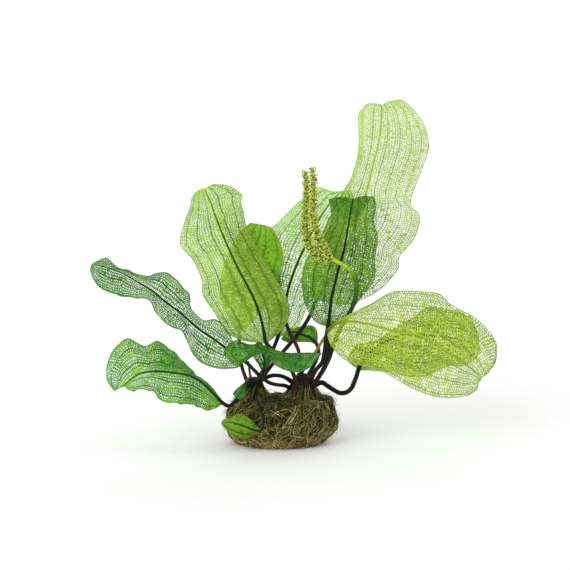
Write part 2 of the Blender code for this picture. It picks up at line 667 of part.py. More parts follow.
def build():
    """Builds the whole plant."""
    for old in list(bpy.data.objects):
        bpy.data.objects.remove(old, do_unlink=True)
    add_root_wad()
    bark = material("crown", CROWN_BROWN, 0.7)
    crown_shell("left_crown", LEFT_CROWN_AT, LEFT_CROWN_RINGS, 0, bark)
    crown_shell("right_crown", RIGHT_CROWN_AT, RIGHT_CROWN_RINGS, 0, bark)
    left_cutter = hide_cutter(
        crown_shell("left_crown_cutter", LEFT_CROWN_AT, LEFT_CROWN_RINGS, GAP, bark)
    )
    right_cutter = hide_cutter(
        crown_shell("right_crown_cutter", RIGHT_CROWN_AT, RIGHT_CROWN_RINGS, GAP, bark)
    )
    for name, leaf in LEAVES.items():
        cutter = left_cutter if name in LEFT_CROWN_LEAVES else right_cutter
        seat_on(add_leaf(name, leaf), cutter)
    stalk_green = material("flower_stalk", FLOWER_STALK_GREEN, 0.4)
    seat_on(add_flower_stalk(stalk_green), right_cutter)
    spike_green = material("flower_spike", SPIKE_GREEN, 0.8)
    fork = fork_cutter()
    seat_on(add_spike("left_flower_spike", LEFT_SPIKE_ROUTE, spike_green), fork)
    seat_on(add_spike("right_flower_spike", RIGHT_SPIKE_ROUTE, spike_green), fork)
    path = smooth_path(DRIED_STALK_ROUTE, STALK_RING_SPACING)
    radii = [DRIED_STALK_RADIUS] * len(path)
    tan = material("dried_leaf_stalk", DRIED_TAN, 0.6)
    seat_on(add_tube("dried_leaf_stalk", path, radii, STALK_SIDES, tan), right_cutter)
    path = smooth_path(YOUNG_SPEAR_ROUTE, STALK_RING_SPACING / 2)
    radii = [YOUNG_SPEAR_RADIUS] * (len(path) - 1) + [YOUNG_SPEAR_TIP]
    brown_green = material("young_leaf_spear", SPEAR_GREEN, 0.5)
    seat_on(add_tube("young_leaf_spear", path, radii, STALK_SIDES, brown_green), left_cutter)


build()
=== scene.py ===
"""Looks of the Madagascar lace plant: netted leaves, round stalks, fluffy spikes and a wad of roots."""

import math
import typing

import bpy
import numpy as np
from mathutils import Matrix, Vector


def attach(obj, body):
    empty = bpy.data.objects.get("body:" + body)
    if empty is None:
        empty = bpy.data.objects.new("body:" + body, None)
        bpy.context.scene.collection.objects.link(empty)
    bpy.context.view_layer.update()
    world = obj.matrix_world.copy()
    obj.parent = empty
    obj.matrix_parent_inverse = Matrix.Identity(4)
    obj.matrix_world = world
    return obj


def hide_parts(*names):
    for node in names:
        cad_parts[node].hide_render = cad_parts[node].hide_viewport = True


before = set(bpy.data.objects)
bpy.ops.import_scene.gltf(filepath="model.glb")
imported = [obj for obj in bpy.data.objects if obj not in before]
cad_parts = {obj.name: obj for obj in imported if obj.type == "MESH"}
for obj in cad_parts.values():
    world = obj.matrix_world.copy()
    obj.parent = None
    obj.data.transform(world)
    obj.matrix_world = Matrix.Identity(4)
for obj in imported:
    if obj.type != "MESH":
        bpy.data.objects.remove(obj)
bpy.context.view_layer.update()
MM = 0.001


class Leaf(typing.NamedTuple):
    """Where a leaf runs, in mm, as in the solids."""

    stalk: tuple  # points from the crown to the foot of the blade
    rows: tuple  # a line for each row up the blade: one margin, the midrib and the other margin


LEAVES = {}
LEAVES["tall_back_leaf"] = Leaf(
    stalk=(
        (-17, 3, 47), (-11, 10, 55.5), (-2.5, 15, 65.5), (6.5, 18, 75.5), (15, 20, 85.5), (23.5, 22, 98.5),
        (29.5, 22, 113),
    ),
    rows=(
        25.5, 24, 126.5, 35.5, 23, 122, 52, 26, 108,
        29, 31, 142.5, 44, 28, 135.5, 77.5, 33, 117,
        34.5, 40, 161.5, 53, 33, 153, 94.5, 37, 134,
        41, 44, 178.5, 59.5, 37, 168, 96, 33, 145.5,
        45, 48, 187, 63, 40, 177, 107.5, 42, 158,
        49.5, 51, 194, 66, 43, 186.5, 112.5, 47, 170.5,
        53.5, 54, 200.5, 69, 46, 194.5, 112, 46, 179,
        56.5, 57, 204.5, 71, 48, 201.5, 105.5, 46, 188.5,
        61, 63, 216, 75, 53, 217, 114, 58, 211.5,
        64, 69, 231, 79, 58, 232, 120.5, 66, 229,
        64, 73, 245.5, 81.5, 63, 247, 118.5, 68, 245.5,
        64, 74, 257.5, 82.5, 67, 259, 110, 66, 260,
        70, 74, 265, 82.5, 70, 264, 99.5, 68, 269,
        78, 72, 266, 83, 71, 265, 90, 70, 268,
    ),
)
LEAVES["folded_front_leaf"] = Leaf(
    stalk=(
        (23, -3, 48), (28, -7, 59.5), (33.5, -10, 67), (35.5, -10, 77), (36.5, -10, 86.5), (38, -10, 96),
    ),
    rows=(
        27.5, -10, 100, 39.5, -12, 108.5, 50, -6, 100.5,
        20.5, -5, 111.5, 40.5, -13, 117.5, 58, -8, 110,
        18.5, -3, 120.5, 42.5, -14, 127, 65.5, -8, 120.5,
        17.5, -4, 133, 45.5, -15, 140, 74.5, -10, 133.5,
        21.5, -8, 149.5, 49.5, -16, 153.5, 75, -10, 150.5,
        32.5, -14, 164.5, 52, -17, 167, 77, -12, 167.5,
        40, -20, 180, 54, -18, 180, 74, -12, 178.5,
        40, -22, 189, 55.5, -19, 189.5, 75.5, -14, 192,
        38.5, -16, 197, 57.5, -17, 198, 73, -13, 199,
        42.5, -6, 190.5, 57, -7, 186.5, 67, -5, 189.5,
        52.5, 1, 174.5, 55.5, 1, 173.5, 58.5, 1, 174.5,
    ),
)
LEAVES["centre_back_leaf"] = Leaf(
    stalk=((-19, -1, 49), (-14.5, 1, 56.5), (-9.5, 6, 65.5), (-5, 9, 75.5), (-1.5, 11, 84.5)),
    rows=(
        -8, 14, 99, 1, 12, 96, 14.5, 10, 93,
        -11, 18, 113.5, 4, 13, 108.5, 21.5, 15, 107,
        -13, 21, 130, 7, 15, 123.5, 28, 16, 117,
        -13, 24, 149, 13, 17, 140.5, 37.5, 18, 131.5,
        -9, 25, 166, 20, 19, 156, 46.5, 18, 148.5,
        1, 28, 176.5, 28, 21, 172, 52.5, 21, 166.5,
        13, 29, 188.5, 36, 23, 184.5, 56.5, 21, 181.5,
        29, 31, 201.5, 43, 25, 193.5, 58.5, 24, 190,
        40, 30, 199, 47, 26, 197, 57.5, 26, 197.5,
        49, 28, 199, 51, 27, 199, 54.5, 27, 200,
    ),
)
LEAVES["broad_left_leaf"] = Leaf(
    stalk=((14, -6, 48), (9.5, -11, 60), (4, -10, 67), (-4, -9, 75), (-11, -9, 82.5)),
    rows=(
        -27, -4, 83, -12.5, -11, 90.5, 0, -8, 91,
        -42, -6, 90, -15, -14, 102.5, 7, -9, 103,
        -50.5, -12, 105.5, -19, -18, 115.5, 6.5, -13, 116.5,
        -60.5, -15, 121, -25, -22, 129, 0, -16, 129.5,
        -61.5, -21, 135, -33, -26, 144.5, -9.5, -20, 146,
        -69, -21, 151.5, -39.5, -30, 159.5, -17, -24, 160,
        -78, -25, 162.5, -45, -33, 173, -25.5, -29, 175.5,
        -75.5, -31, 177.5, -49.5, -36, 185, -28, -31, 187.5,
        -70, -31, 193, -53.5, -38, 196.5, -30, -35, 197.5,
        -68.5, -34, 200.5, -56, -39, 202.5, -30, -33, 203.5,
        -65.5, -36, 205, -57.5, -39, 206, -39, -36, 210,
        -61, -38, 208, -57.5, -39, 208.5, -51, -38, 212,
    ),
)
LEAVES["upper_middle_leaf"] = Leaf(
    stalk=((-24, -2, 47), (-27.5, -2, 53.5), (-30.5, 0, 62.5), (-32, 1, 75), (-32.5, 1, 89.5)),
    rows=(
        -41.5, 5, 102, -32, 2, 102.5, -20.5, 5, 98.5,
        -47, 5, 116.5, -30, 1, 117.5, -11, 2, 112,
        -47, 3, 132.5, -26.5, 0, 131.5, -3, 5, 125,
        -43, 4, 147, -23, 1, 145.5, 1, 1, 140,
        -36.5, 5, 160.5, -19, 3, 157.5, 2.5, 8, 151,
        -31, 9, 169.5, -16, 6, 166.5, -1, 6, 163.5,
        -24, 10, 175.5, -15, 9, 174.5, -7, 11, 172,
    ),
)
LEAVES["hidden_middle_leaf"] = Leaf(
    stalk=(
        (17, -1, 51), (16.5, 0, 64.5), (15, 0, 73.5), (12.5, 1, 80), (8.5, 2, 87), (5, 4, 95.5),
        (1, 6, 104),
    ),
    rows=(
        -10.5, 9, 109.5, -1.5, 8, 112, 4, 8, 110,
        -17.5, 12, 121, -4, 9, 123, 1, 9, 123,
        -24, 13, 134.5, -9, 11, 137, 0, 12, 138.5,
        -29.5, 14, 149, -16, 13, 150.5, -4, 14, 153.5,
        -32, 17, 161.5, -23, 15, 163, -14.5, 17, 165.5,
        -28.5, 18, 169, -25.5, 17, 170, -22.5, 18, 171,
    ),
)
LEAVES["front_right_leaf"] = Leaf(
    stalk=((25, -6, 46), (33.5, -12, 60.5), (37, -16, 70), (38.5, -18, 81.5), (38, -20, 93.5)),
    rows=(
        47.5, -19, 102.5, 45, -22, 99.5, 40, -25, 83.5,
        61, -17, 109.5, 56, -24, 102, 49, -29, 73.5,
        74, -16, 116, 70, -26, 100, 61, -34, 69.5,
        87.5, -13, 123.5, 83.5, -28, 96.5, 77, -36, 65.5,
        100, -16, 125, 96, -30, 93.5, 90, -39, 59,
        113.5, -17, 124.5, 109, -32, 92.5, 103.5, -40, 51.5,
        126, -21, 123, 120.5, -34, 87, 117.5, -44, 46.5,
        134, -20, 115, 130, -36, 81, 130, -44, 44.5,
        144.5, -25, 110, 138.5, -38, 75, 140, -46, 45.5,
        158, -24, 101, 146.5, -39, 69, 147.5, -44, 46.5,
        169, -30, 87.5, 152.5, -40, 64.5, 154, -42, 50.5,
        169.5, -34, 73, 156.5, -40, 61, 155, -41, 55.5,
        163, -38, 63, 158, -40, 60, 157, -40, 57.5,
    ),
)
LEAVES["rear_right_leaf"] = Leaf(
    stalk=(
        (25, 4, 45), (33, 5, 48), (37.5, 6, 45.5), (42.5, 7, 42), (48, 8, 39), (53.5, 9, 39.5),
        (57.5, 10, 43), (60, 10, 49), (61.5, 10, 53), (63, 10, 58),
    ),
    rows=(
        54.5, 13, 65, 68, 12, 67, 73, 9, 57,
        61.5, 16, 76.5, 77, 13, 75.5, 86.5, 10, 55.5,
        77, 19, 79.5, 87.5, 15, 81, 98, 12, 52.5,
        94, 22, 90.5, 98.5, 18, 85, 107.5, 14, 51,
        108.5, 26, 98.5, 111, 21, 84.5, 118, 18, 51,
        118.5, 28, 105.5, 124, 24, 82.5, 127, 20, 55,
        133, 32, 103.5, 135.5, 27, 81, 137, 25, 58,
        145, 33, 100, 146, 29, 78.5, 147.5, 27, 57.5,
        154.5, 35, 93.5, 154, 31, 76.5, 156.5, 30, 62,
        160, 33, 83.5, 160.5, 32, 75, 162, 31, 69.5,
    ),
)
LEAVES["long_left_leaf"] = Leaf(
    stalk=(
        (10, -4, 44), (4, -12, 48.5), (-1, -20, 50.5), (-8, -22, 52.5), (-15, -23, 57.5), (-23.5, -22, 66),
        (-31.5, -20, 73),
    ),
    rows=(
        -31.5, -20, 65.5, -37, -20, 77, -37, -21, 86,
        -39.5, -23, 64, -44, -19, 81, -44, -21, 98,
        -52, -27, 65.5, -53, -18, 87.5, -51, -23, 103.5,
        -64.5, -30, 72, -63, -17, 94, -60.5, -17, 102,
        -71.5, -24, 82.5, -73.5, -15, 102.5, -70.5, -8, 110,
        -78, -25, 95, -77.5, -14, 106.5, -71, -4, 115,
        -88.5, -25, 99, -83.5, -13, 110.5, -73, 0, 121,
        -98, -17, 108.5, -92.5, -11, 117, -82.5, 4, 131,
        -104.5, -19, 119, -102, -9, 124.5, -93, 8, 137,
        -115, -12, 118.5, -113, -7, 131, -104.5, 0, 134.5,
        -127.5, -18, 122, -125, -6, 138, -117.5, 4, 137.5,
        -139.5, -11, 125, -135, -7, 142, -128, -4, 142,
        -147.5, -15, 134.5, -143.5, -9, 144.5, -137.5, -2, 149,
        -149.5, -13, 142, -148.5, -11, 145.5, -145, -9, 147.5,
    ),
)
LEAVES["lower_left_leaf"] = Leaf(
    stalk=(
        (10.5, 0, 49), (4, -8, 54.5), (-1, -14, 57), (-7, -15, 57), (-14, -17, 54.5), (-23.5, -21, 51),
        (-29, -26, 46.5), (-33, -29, 41.5), (-39.5, -32, 36), (-45.5, -34, 39),
    ),
    rows=(
        -52.5, -39, 34.5, -51.5, -36, 45.5, -50.5, -33, 47,
        -58, -44, 34.5, -57, -39, 52, -55, -36, 53.5,
        -64.5, -48, 38.5, -63, -42, 57.5, -62, -37, 59,
        -72, -52, 41, -70, -45, 62, -69, -35, 64.5,
        -80, -55, 42, -78.5, -48, 64.5, -77, -32, 73,
        -91, -58, 44.5, -88, -50, 66, -86, -35, 81.5,
        -99, -61, 52.5, -95.5, -53, 67, -95, -36, 88,
        -107, -62, 54.5, -103, -56, 67, -106, -42, 85.5,
        -113, -64, 53.5, -109.5, -58, 65.5, -119.5, -43, 91,
        -117.5, -62, 54, -114.5, -60, 62.5, -130, -50, 82.5,
        -119.5, -61, 56, -119, -61, 59, -135, -53, 68,
        -122, -61, 56.5, -122.5, -61, 56.5, -133, -57, 58.5,
        -125, -60, 55, -126.5, -60, 54, -128.5, -60, 53,
    ),
)
LEAVES["arching_front_leaf"] = Leaf(
    stalk=((-16, -4, 46), (-14, -12, 56.5), (-13, -16, 61)),
    rows=(
        -17, -20, 67, -12, -21, 68.5, -8, -21, 67.5,
        -22.5, -27, 76, -13.5, -28, 77.5, -2.5, -27, 73.5,
        -32.5, -38, 89, -14, -37, 85.5, 14, -35, 78.5,
        -42.5, -47, 84.5, -17, -46, 88.5, 31.5, -45, 80,
        -42, -51, 78, -18.5, -52, 87.5, 29.5, -51, 77.5,
        -32.5, -54, 72, -15.5, -56, 87, 26.5, -55, 74,
        -26, -57, 79, -11.5, -59, 85, 23.5, -57, 71,
        -17.5, -59, 83.5, -6, -62, 82.5, 21, -60, 70,
        -10, -61, 82.5, 0, -64, 77, 18, -62, 69,
        -5.5, -63, 75.5, 5, -65, 72.5, 15, -64, 68.5,
        3, -65, 70.5, 8, -66, 69.5, 11, -65, 68.5,
    ),
)
LEAVES["curled_back_leaf"] = Leaf(
    stalk=((20, 7, 49), (28.5, 13, 63.5), (31, 20, 70.5), (29.5, 24, 76)),
    rows=(
        25.5, 25, 77, 25, 27, 80, 30, 31, 84.5,
        19.5, 25, 77.5, 18.5, 29, 82.5, 26.5, 35, 89,
        13, 25, 77.5, 13, 30, 84.5, 19.5, 36, 89,
        7, 25, 77, 7, 30, 84.5, 10, 34, 87,
        1, 28, 79, 2.5, 29, 82.5, 3, 31, 84.5,
    ),
)
LEAVES["crown_leaflet"] = Leaf(
    stalk=((-22, -6, 46), (-24.5, -18, 55.5), (-26.5, -31, 54.5)),
    rows=(
        -31.5, -34, 52, -29.5, -35, 50, -27, -34, 48,
        -35, -34, 49, -32, -36, 46, -28, -35, 43,
        -37, -35, 46, -35, -36, 43.5, -31.5, -35, 41.5,
    ),
)
LEAVES["small_low_leaf"] = Leaf(
    stalk=((-19, -6, 41), (-17.5, -24, 39), (-14.5, -35, 32.5), (-13, -40, 24.5), (-15, -41, 18)),
    rows=(
        -20.5, -41, 15, -21, -43, 19, -18.5, -41, 21.5,
        -28, -42, 11.5, -27.5, -45, 22, -23.5, -41, 27.5,
        -34.5, -43, 14, -33, -46, 24, -31, -42, 31.5,
        -40, -43, 17, -38, -46, 25.5, -38.5, -43, 29,
        -45.5, -44, 23.5, -45.5, -45, 25.5, -44.5, -44, 27,
    ),
)

# Routes of the other stalks and the spikes, in mm, from the foot up
FLOWER_STALK_ROUTE = (
    (26, 0, 46), (34, -4, 59), (38, -7, 67.5), (41.5, -9, 77.5), (47.5, -12, 94), (54, -14, 105),
    (58.5, -15, 116), (60.5, -18, 127), (58, -23, 138), (52, -27, 145.5), (40.5, -30, 152.5),
)
LEFT_SPIKE_ROUTE = (
    (40, -27, 152), (33, -26, 152.5), (25.5, -26, 158), (21.5, -27, 167), (20, -27, 178), (20, -27, 189.5),
    (20.5, -27, 201.5), (20.5, -28, 211.5), (19.5, -29, 221),
)
RIGHT_SPIKE_ROUTE = (
    (40, -32, 153), (36.5, -35, 158.5), (31.5, -36, 166.5), (28, -36, 175.5), (26, -36, 185),
    (26, -36, 195.5), (26, -36, 205.5), (26, -37, 215), (25, -38, 224.5),
)
DRIED_STALK_ROUTE = ((15, 5, 50), (21.5, 5, 64.5), (28.5, 4, 73), (32.5, 1, 80.5), (36.5, -2, 87.5))
YOUNG_SPEAR_ROUTE = ((-23, 2, 48), (-23.5, 1, 53), (-24.5, 0, 60), (-25, -1, 66.5))

# Radius in mm and display colour of those stems, at shares of their length
FLOWER_STALK_RADII = ((0, 2.3), (0.1, 1.85), (0.75, 1.85), (0.95, 1.45), (1, 1.9))
FLOWER_STALK_COLOURS = (
    (0.0, (16, 24, 8)), (0.35, (14, 32, 8)), (0.62, (28, 62, 14)), (0.8, (70, 118, 22)),
    (0.9, (150, 180, 30)), (1.0, (176, 190, 50)),
)
DRIED_STALK_RADII = ((0, 1.6), (0.2, 1.3), (0.9, 1.2), (1, 0.8))
DRIED_STALK_COLOURS = ((0.0, (60, 36, 18)), (0.5, (124, 98, 40)), (1.0, (150, 130, 60)))
YOUNG_SPEAR_RADII = ((0, 1.1), (0.7, 0.95), (1, 0.45))
YOUNG_SPEAR_COLOURS = ((0.0, (60, 46, 30)), (1.0, (96, 104, 44)))

# The root wad: height, left end, right end and half depth of each ring, in mm
ROOT_RINGS = (
    (0, -31, 29, 25),
    (4, -38, 36, 31),
    (11, -42, 41, 35),
    (19, -42, 44, 36),
    (27, -39, 44, 35),
    (32, -34, 43, 31),
    (35, -29, 40, 25),
    (36, -14, 20, 12),
    (36.2, 2, 4, 1),
)
ROOT_TOP = 35.3
# The wad's usual reach in mm at some of those rings, and the usual height between rings
ROOT_REACH = ((0, 30), (2, 40), (5, 42), (6, 33), (7, 16), (8, 3))
ROOT_RING_GAP = 5.5

# Layers of root fibres: how many, the zone on the wad, their radius, lift and length in mm, how
# dark most of them are, and the share that sticks out
UPPER_FIBRES = (
    (2900, (1.2, 7.4), (0.13, 0.31), (0.2, 2.2), (5, 17), 2.5, 0.0),
    (420, (2.0, 7.5), (0.24, 0.4), (0.5, 2.6), (14, 32), 3.0, 0.0),
    (360, (3.5, 7.0), (0.12, 0.2), (0.7, 2.2), (8, 15), 1.2, 1.0),
)
LOWER_FIBRES = (
    (1500, (0.1, 2.4), (0.13, 0.31), (0.3, 2.0), (5, 16), 1.8, 0.0),
    (340, (0.4, 4.5), (0.11, 0.18), (0.8, 2.2), (8, 16), 0.5, 0.8),
    (70, (3.0, 7.2), (0.2, 0.34), (0.8, 2.4), (14, 30), 0.3, 0.0),
)
CROWN_FIBRES = {"left_crown": 260, "right_crown": 340}
CROWN_STUBS = {"left_crown": 18, "right_crown": 26}

# Flower spikes, in mm: radius at the foot and at the tip, and the distance between florets
SPIKE_RADII = (4.2, 2.3)
FLORET_SPACING = 0.74
GOLDEN_ANGLE = 2.39996
STAMENS = 4

# Middle of each crown, and the height and radius of its rings, in mm
CROWNS = {
    "left_crown": ((-20.5, 0.0), ((0, 8.8), (6, 8.2), (11, 7.4), (15, 5.6), (18, 2.6))),
    "right_crown": (
        (18.0, 0.0),
        ((0, 14.0), (5, 12.2), (11, 10.0), (16, 8.2), (19, 5.4), (21, 2.4)),
    ),
}

# How fibres and the stubs on the crowns are made, in mm
FIBRE_STEPS, FIBRE_SIDES = 6, 3
FIBRE_RINGS = (0.05, 7.6)  # the rings of the wad that fibres keep between
FIBRE_SINK = 0.35  # how deep their ends lie in the wad
FIBRE_FLOOR = 0.35  # their least height
STUB_STEPS, STUB_SIDES = 9, 8

# Stalks, midribs and the net, in mm
STALK_FOOT_SWELL = 1.3
STALK_FOOT_LENGTH = 14
RIB_FOOT_SWELL = 0.26
RIB_TIP = 0.24
BLADE_BOW = 0.09
VEIN_RISE = 0.17
BOLD_VEIN_RISE = 0.24
THREAD = 0.15
BOLD_THREAD = 0.18
THREAD_ALONG = 0.28
CELL_DOME = 0.25
COARSER = 1
BOLD_VEIN_EVERY = 5
FULL_HOLE = 0.9  # share of a cell that the largest hole takes
HOLE_STRETCH = 0.65  # holes shrink more along the blade than across it
HOLE_CORNERS = ((-1, -1), (1, -1), (1, 0), (1, 1), (-1, 1), (-1, 0))
LEAST_OPEN, MOST_OPEN = 0.03, 0.72
LEAST_HOLE = (0.25, 0.22)
RUFFLE_WAVES = (4.1, 7.3)
WANDER_LENGTHS = (4.0, 6.5, 11.0)
CALM_SIDE, CALM_END = 2.5, 3.0  # the net's wandering dies out this near to margins and ends
WANDER_SHARE = 0.038
SHAKES = ((0.09, 0.16), (0.34, 0.45))  # spread and limit of each point's own shift, across and along
WIDEST_COMB, WIDEST_HEM = 0.3, 0.14  # as shares of the half width


def srgb(red, green, blue):
    """A linear colour from display values between 0 and 255."""
    return tuple(
        c / 12.92 if c <= 0.04045 else ((c + 0.055) / 1.055) ** 2.4
        for c in (red / 255, green / 255, blue / 255)
    )


class Look(typing.NamedTuple):
    """How a leaf looks. Colours are display values from 0 to 255, and lengths are in mm."""

    light: tuple  # the blade's two tones
    dark: tuple
    vein: tuple
    edge: tuple  # the margins: their own firmer green, partly painted shade where they curl
    rib: tuple
    stalk: tuple
    foot: tuple  # the stalk at the crown
    holes: tuple  # for each side of the midrib, the open share of the cells from base to tip
    comb: tuple  # open share and width of the cells beside the midrib
    radius: float  # of the stalk
    ruffle: float
    cell: tuple = (2.0, 1.35)  # across and along the blade
    hems: tuple = (0.5, 0.5)  # width of the whole band at each margin
    vary: tuple = (0.3, 0.06)  # how much the holes vary, and the share of cells with none
    bold: float = 0.6  # how much the bold veins take the midrib's colour
    painted_shading: tuple = (1, 1, 0.0)  # painted shade: side, the share of the length and how much darker; below zero it paints light
    stout: float = 0.46  # the midrib's radius past the middle, as a share of the stalk's
    hold: float = 0.0  # the share of the blade where the midrib stays as wide as the stalk


LOOKS = {
    "tall_back_leaf": Look(
        light=(222, 241, 146), dark=(180, 215, 98), vein=(153, 186, 46), edge=(132, 192, 88),
        rib=(160, 192, 30), stalk=(48, 18, 24), foot=(80, 34, 26),
        holes=((0.36, 0.3, 0.23), (0.42, 0.33, 0.26)), comb=(0.3, 2.2), radius=1.6, ruffle=0.4,
        cell=(2.0, 1.4), hems=(2.2, 0.5), bold=0.45, stout=0.36,
    ),
    "folded_front_leaf": Look(
        light=(156, 204, 56), dark=(87, 151, 34), vein=(53, 113, 19), edge=(53, 124, 28), rib=(14, 30, 6),
        stalk=(24, 20, 8), foot=(50, 24, 18), holes=((0.22, 0.12, 0.08, 0.05), (0.28, 0.2, 0.16, 0.12)),
        comb=(0.25, 2.2), radius=1.7, ruffle=0.4, cell=(1.7, 1.2), vary=(0.4, 0.1), painted_shading=(1, 0.5, -0.14),
    ),
    "centre_back_leaf": Look(
        light=(214, 250, 96), dark=(170, 230, 62), vein=(108, 171, 18), edge=(137, 210, 37),
        rib=(44, 70, 8), stalk=(10, 24, 8), foot=(90, 34, 22),
        holes=((0.42, 0.26, 0.22), (0.44, 0.32, 0.28)), comb=(0.45, 2.6), radius=1.6, ruffle=0.5,
    ),
    "broad_left_leaf": Look(
        light=(206, 238, 94), dark=(164, 211, 56), vein=(105, 158, 24), edge=(124, 188, 36),
        rib=(26, 52, 8), stalk=(14, 32, 8), foot=(56, 50, 18),
        holes=((0.1, 0.2, 0.26), (0.06, 0.12, 0.24)), comb=(0.25, 2.2), radius=1.6, ruffle=0.7,
        cell=(1.9, 1.3), bold=0.45, painted_shading=(1, 0.75, 0.25),
    ),
    "upper_middle_leaf": Look(
        light=(176, 232, 62), dark=(124, 188, 38), vein=(111, 172, 23), edge=(155, 208, 38),
        rib=(60, 94, 14), stalk=(54, 22, 24), foot=(44, 20, 20),
        holes=((0.16, 0.14, 0.06, 0.03), (0.04, 0.03, 0.03, 0.03)), comb=(0.08, 2.6), radius=1.4,
        ruffle=0.6, bold=0.75,
    ),
    "hidden_middle_leaf": Look(
        light=(108, 168, 44), dark=(76, 136, 30), vein=(73, 126, 20), edge=(94, 159, 34), rib=(40, 58, 14),
        stalk=(50, 18, 22), foot=(36, 16, 18), holes=((0.05, 0.05, 0.04), (0.05, 0.05, 0.04)),
        comb=(0.15, 2.6), radius=1.5, ruffle=0.5,
    ),
    "front_right_leaf": Look(
        light=(212, 230, 80), dark=(174, 208, 52), vein=(133, 167, 21), edge=(151, 189, 41),
        rib=(178, 194, 16), stalk=(8, 18, 6), foot=(38, 26, 12),
        holes=((0.26, 0.33, 0.28), (0.2, 0.32, 0.38)), comb=(0.32, 2.8), radius=1.6, ruffle=0.6,
        cell=(2.5, 1.65), vary=(0.35, 0.02), stout=0.3,
    ),
    "rear_right_leaf": Look(
        light=(190, 218, 66), dark=(152, 197, 42), vein=(109, 153, 15), edge=(124, 171, 26),
        rib=(46, 64, 10), stalk=(8, 18, 8), foot=(12, 20, 12),
        holes=((0.15, 0.16, 0.16), (0.15, 0.16, 0.16)), comb=(0.22, 2.8), radius=1.9, ruffle=0.6,
        cell=(2.1, 1.5), vary=(0.25, 0.02), stout=0.36,
    ),
    "long_left_leaf": Look(
        light=(138, 200, 74), dark=(70, 154, 36), vein=(43, 115, 35), edge=(50, 146, 39), rib=(8, 32, 8),
        stalk=(8, 30, 12), foot=(14, 22, 10), holes=((0.25, 0.22, 0.19), (0.27, 0.22, 0.17)),
        comb=(0.42, 2.6), radius=1.5, ruffle=0.7, cell=(2.1, 1.45), hems=(1.2, 1.2), vary=(0.3, 0.03),
        bold=0.35,
    ),
    "lower_left_leaf": Look(
        light=(152, 214, 62), dark=(78, 170, 26), vein=(55, 135, 19), edge=(59, 159, 23), rib=(18, 66, 16),
        stalk=(8, 22, 10), foot=(12, 22, 12), holes=((0.06, 0.16, 0.3), (0.03, 0.06, 0.32)),
        comb=(0.15, 2.2), radius=1.6, ruffle=0.9, cell=(1.8, 1.25), hems=(1.0, 1.0), vary=(0.3, 0.03),
        bold=0.4, painted_shading=(1, 0.5, 0.1),
    ),
    "arching_front_leaf": Look(
        light=(108, 178, 58), dark=(56, 126, 32), vein=(43, 109, 22), edge=(35, 105, 22), rib=(30, 90, 20),
        stalk=(62, 14, 22), foot=(50, 18, 20),
        holes=((0.6, 0.16, 0.05, 0.04, 0.04, 0.03), (0.5, 0.14, 0.05, 0.04, 0.04, 0.03)), comb=(0.2, 2.0),
        radius=1.4, ruffle=0.4, cell=(1.8, 1.3),
    ),
    "curled_back_leaf": Look(
        light=(158, 216, 53), dark=(93, 167, 34), vein=(66, 133, 20), edge=(113, 169, 34),
        rib=(30, 76, 18), stalk=(8, 30, 12), foot=(12, 28, 12),
        holes=((0.02, 0.02, 0.02), (0.02, 0.02, 0.02)), comb=(0.03, 1.6), radius=1.5, ruffle=0.2,
        hold=0.35,
    ),
    "crown_leaflet": Look(
        light=(96, 148, 48), dark=(60, 116, 32), vein=(42, 92, 22), edge=(50, 106, 28), rib=(40, 82, 20),
        stalk=(28, 46, 14), foot=(24, 32, 14), holes=((0.0, 0.0, 0.0), (0.0, 0.0, 0.0)), comb=(0.0, 1.2),
        radius=0.9, ruffle=0.1,
    ),
    "small_low_leaf": Look(
        light=(126, 170, 39), dark=(82, 136, 22), vein=(56, 104, 15), edge=(90, 146, 30), rib=(34, 66, 16),
        stalk=(12, 30, 12), foot=(18, 28, 14), holes=((0.03, 0.03, 0.02), (0.03, 0.03, 0.02)),
        comb=(0.02, 1.8), radius=1.3, ruffle=0.3,
    ),
}



# Curves and surfaces


def smooth(controls, t):
    """Points of a smooth curve through the controls. t runs from 0 to their count less 1."""
    controls = np.asarray(controls, float)
    ends = np.vstack([2 * controls[0] - controls[1], controls, 2 * controls[-1] - controls[-2]])
    t = np.clip(np.asarray(t, float), 0, len(controls) - 1)
    i = np.minimum(t.astype(int), len(controls) - 2)
    f = (t - i)[..., None]
    a, b, c, d = ends[i], ends[i + 1], ends[i + 2], ends[i + 3]
    return 0.5 * (2 * b + (c - a) * f + (2 * a - 5 * b + 4 * c - d) * f**2 + (3 * b - a - 3 * c + d) * f**3)


def distances(points):
    """How far along a line of points each of them lies."""
    return np.concatenate([[0], np.cumsum(np.linalg.norm(np.diff(points, axis=0), axis=1))])


def even_path(controls, spacing):
    """Points about `spacing` apart on the smooth curve through the controls."""
    t = np.linspace(0, len(controls) - 1, 40 * len(controls))
    fine = smooth(controls, t)
    run = distances(fine)
    count = max(3, int(round(run[-1] / spacing)) + 1)
    return smooth(controls, np.interp(np.linspace(0, run[-1], count), run, t)), run[-1]


def unit(v):
    """Vectors of length 1."""
    return v / np.maximum(np.linalg.norm(v, axis=-1, keepdims=True), 1e-9)


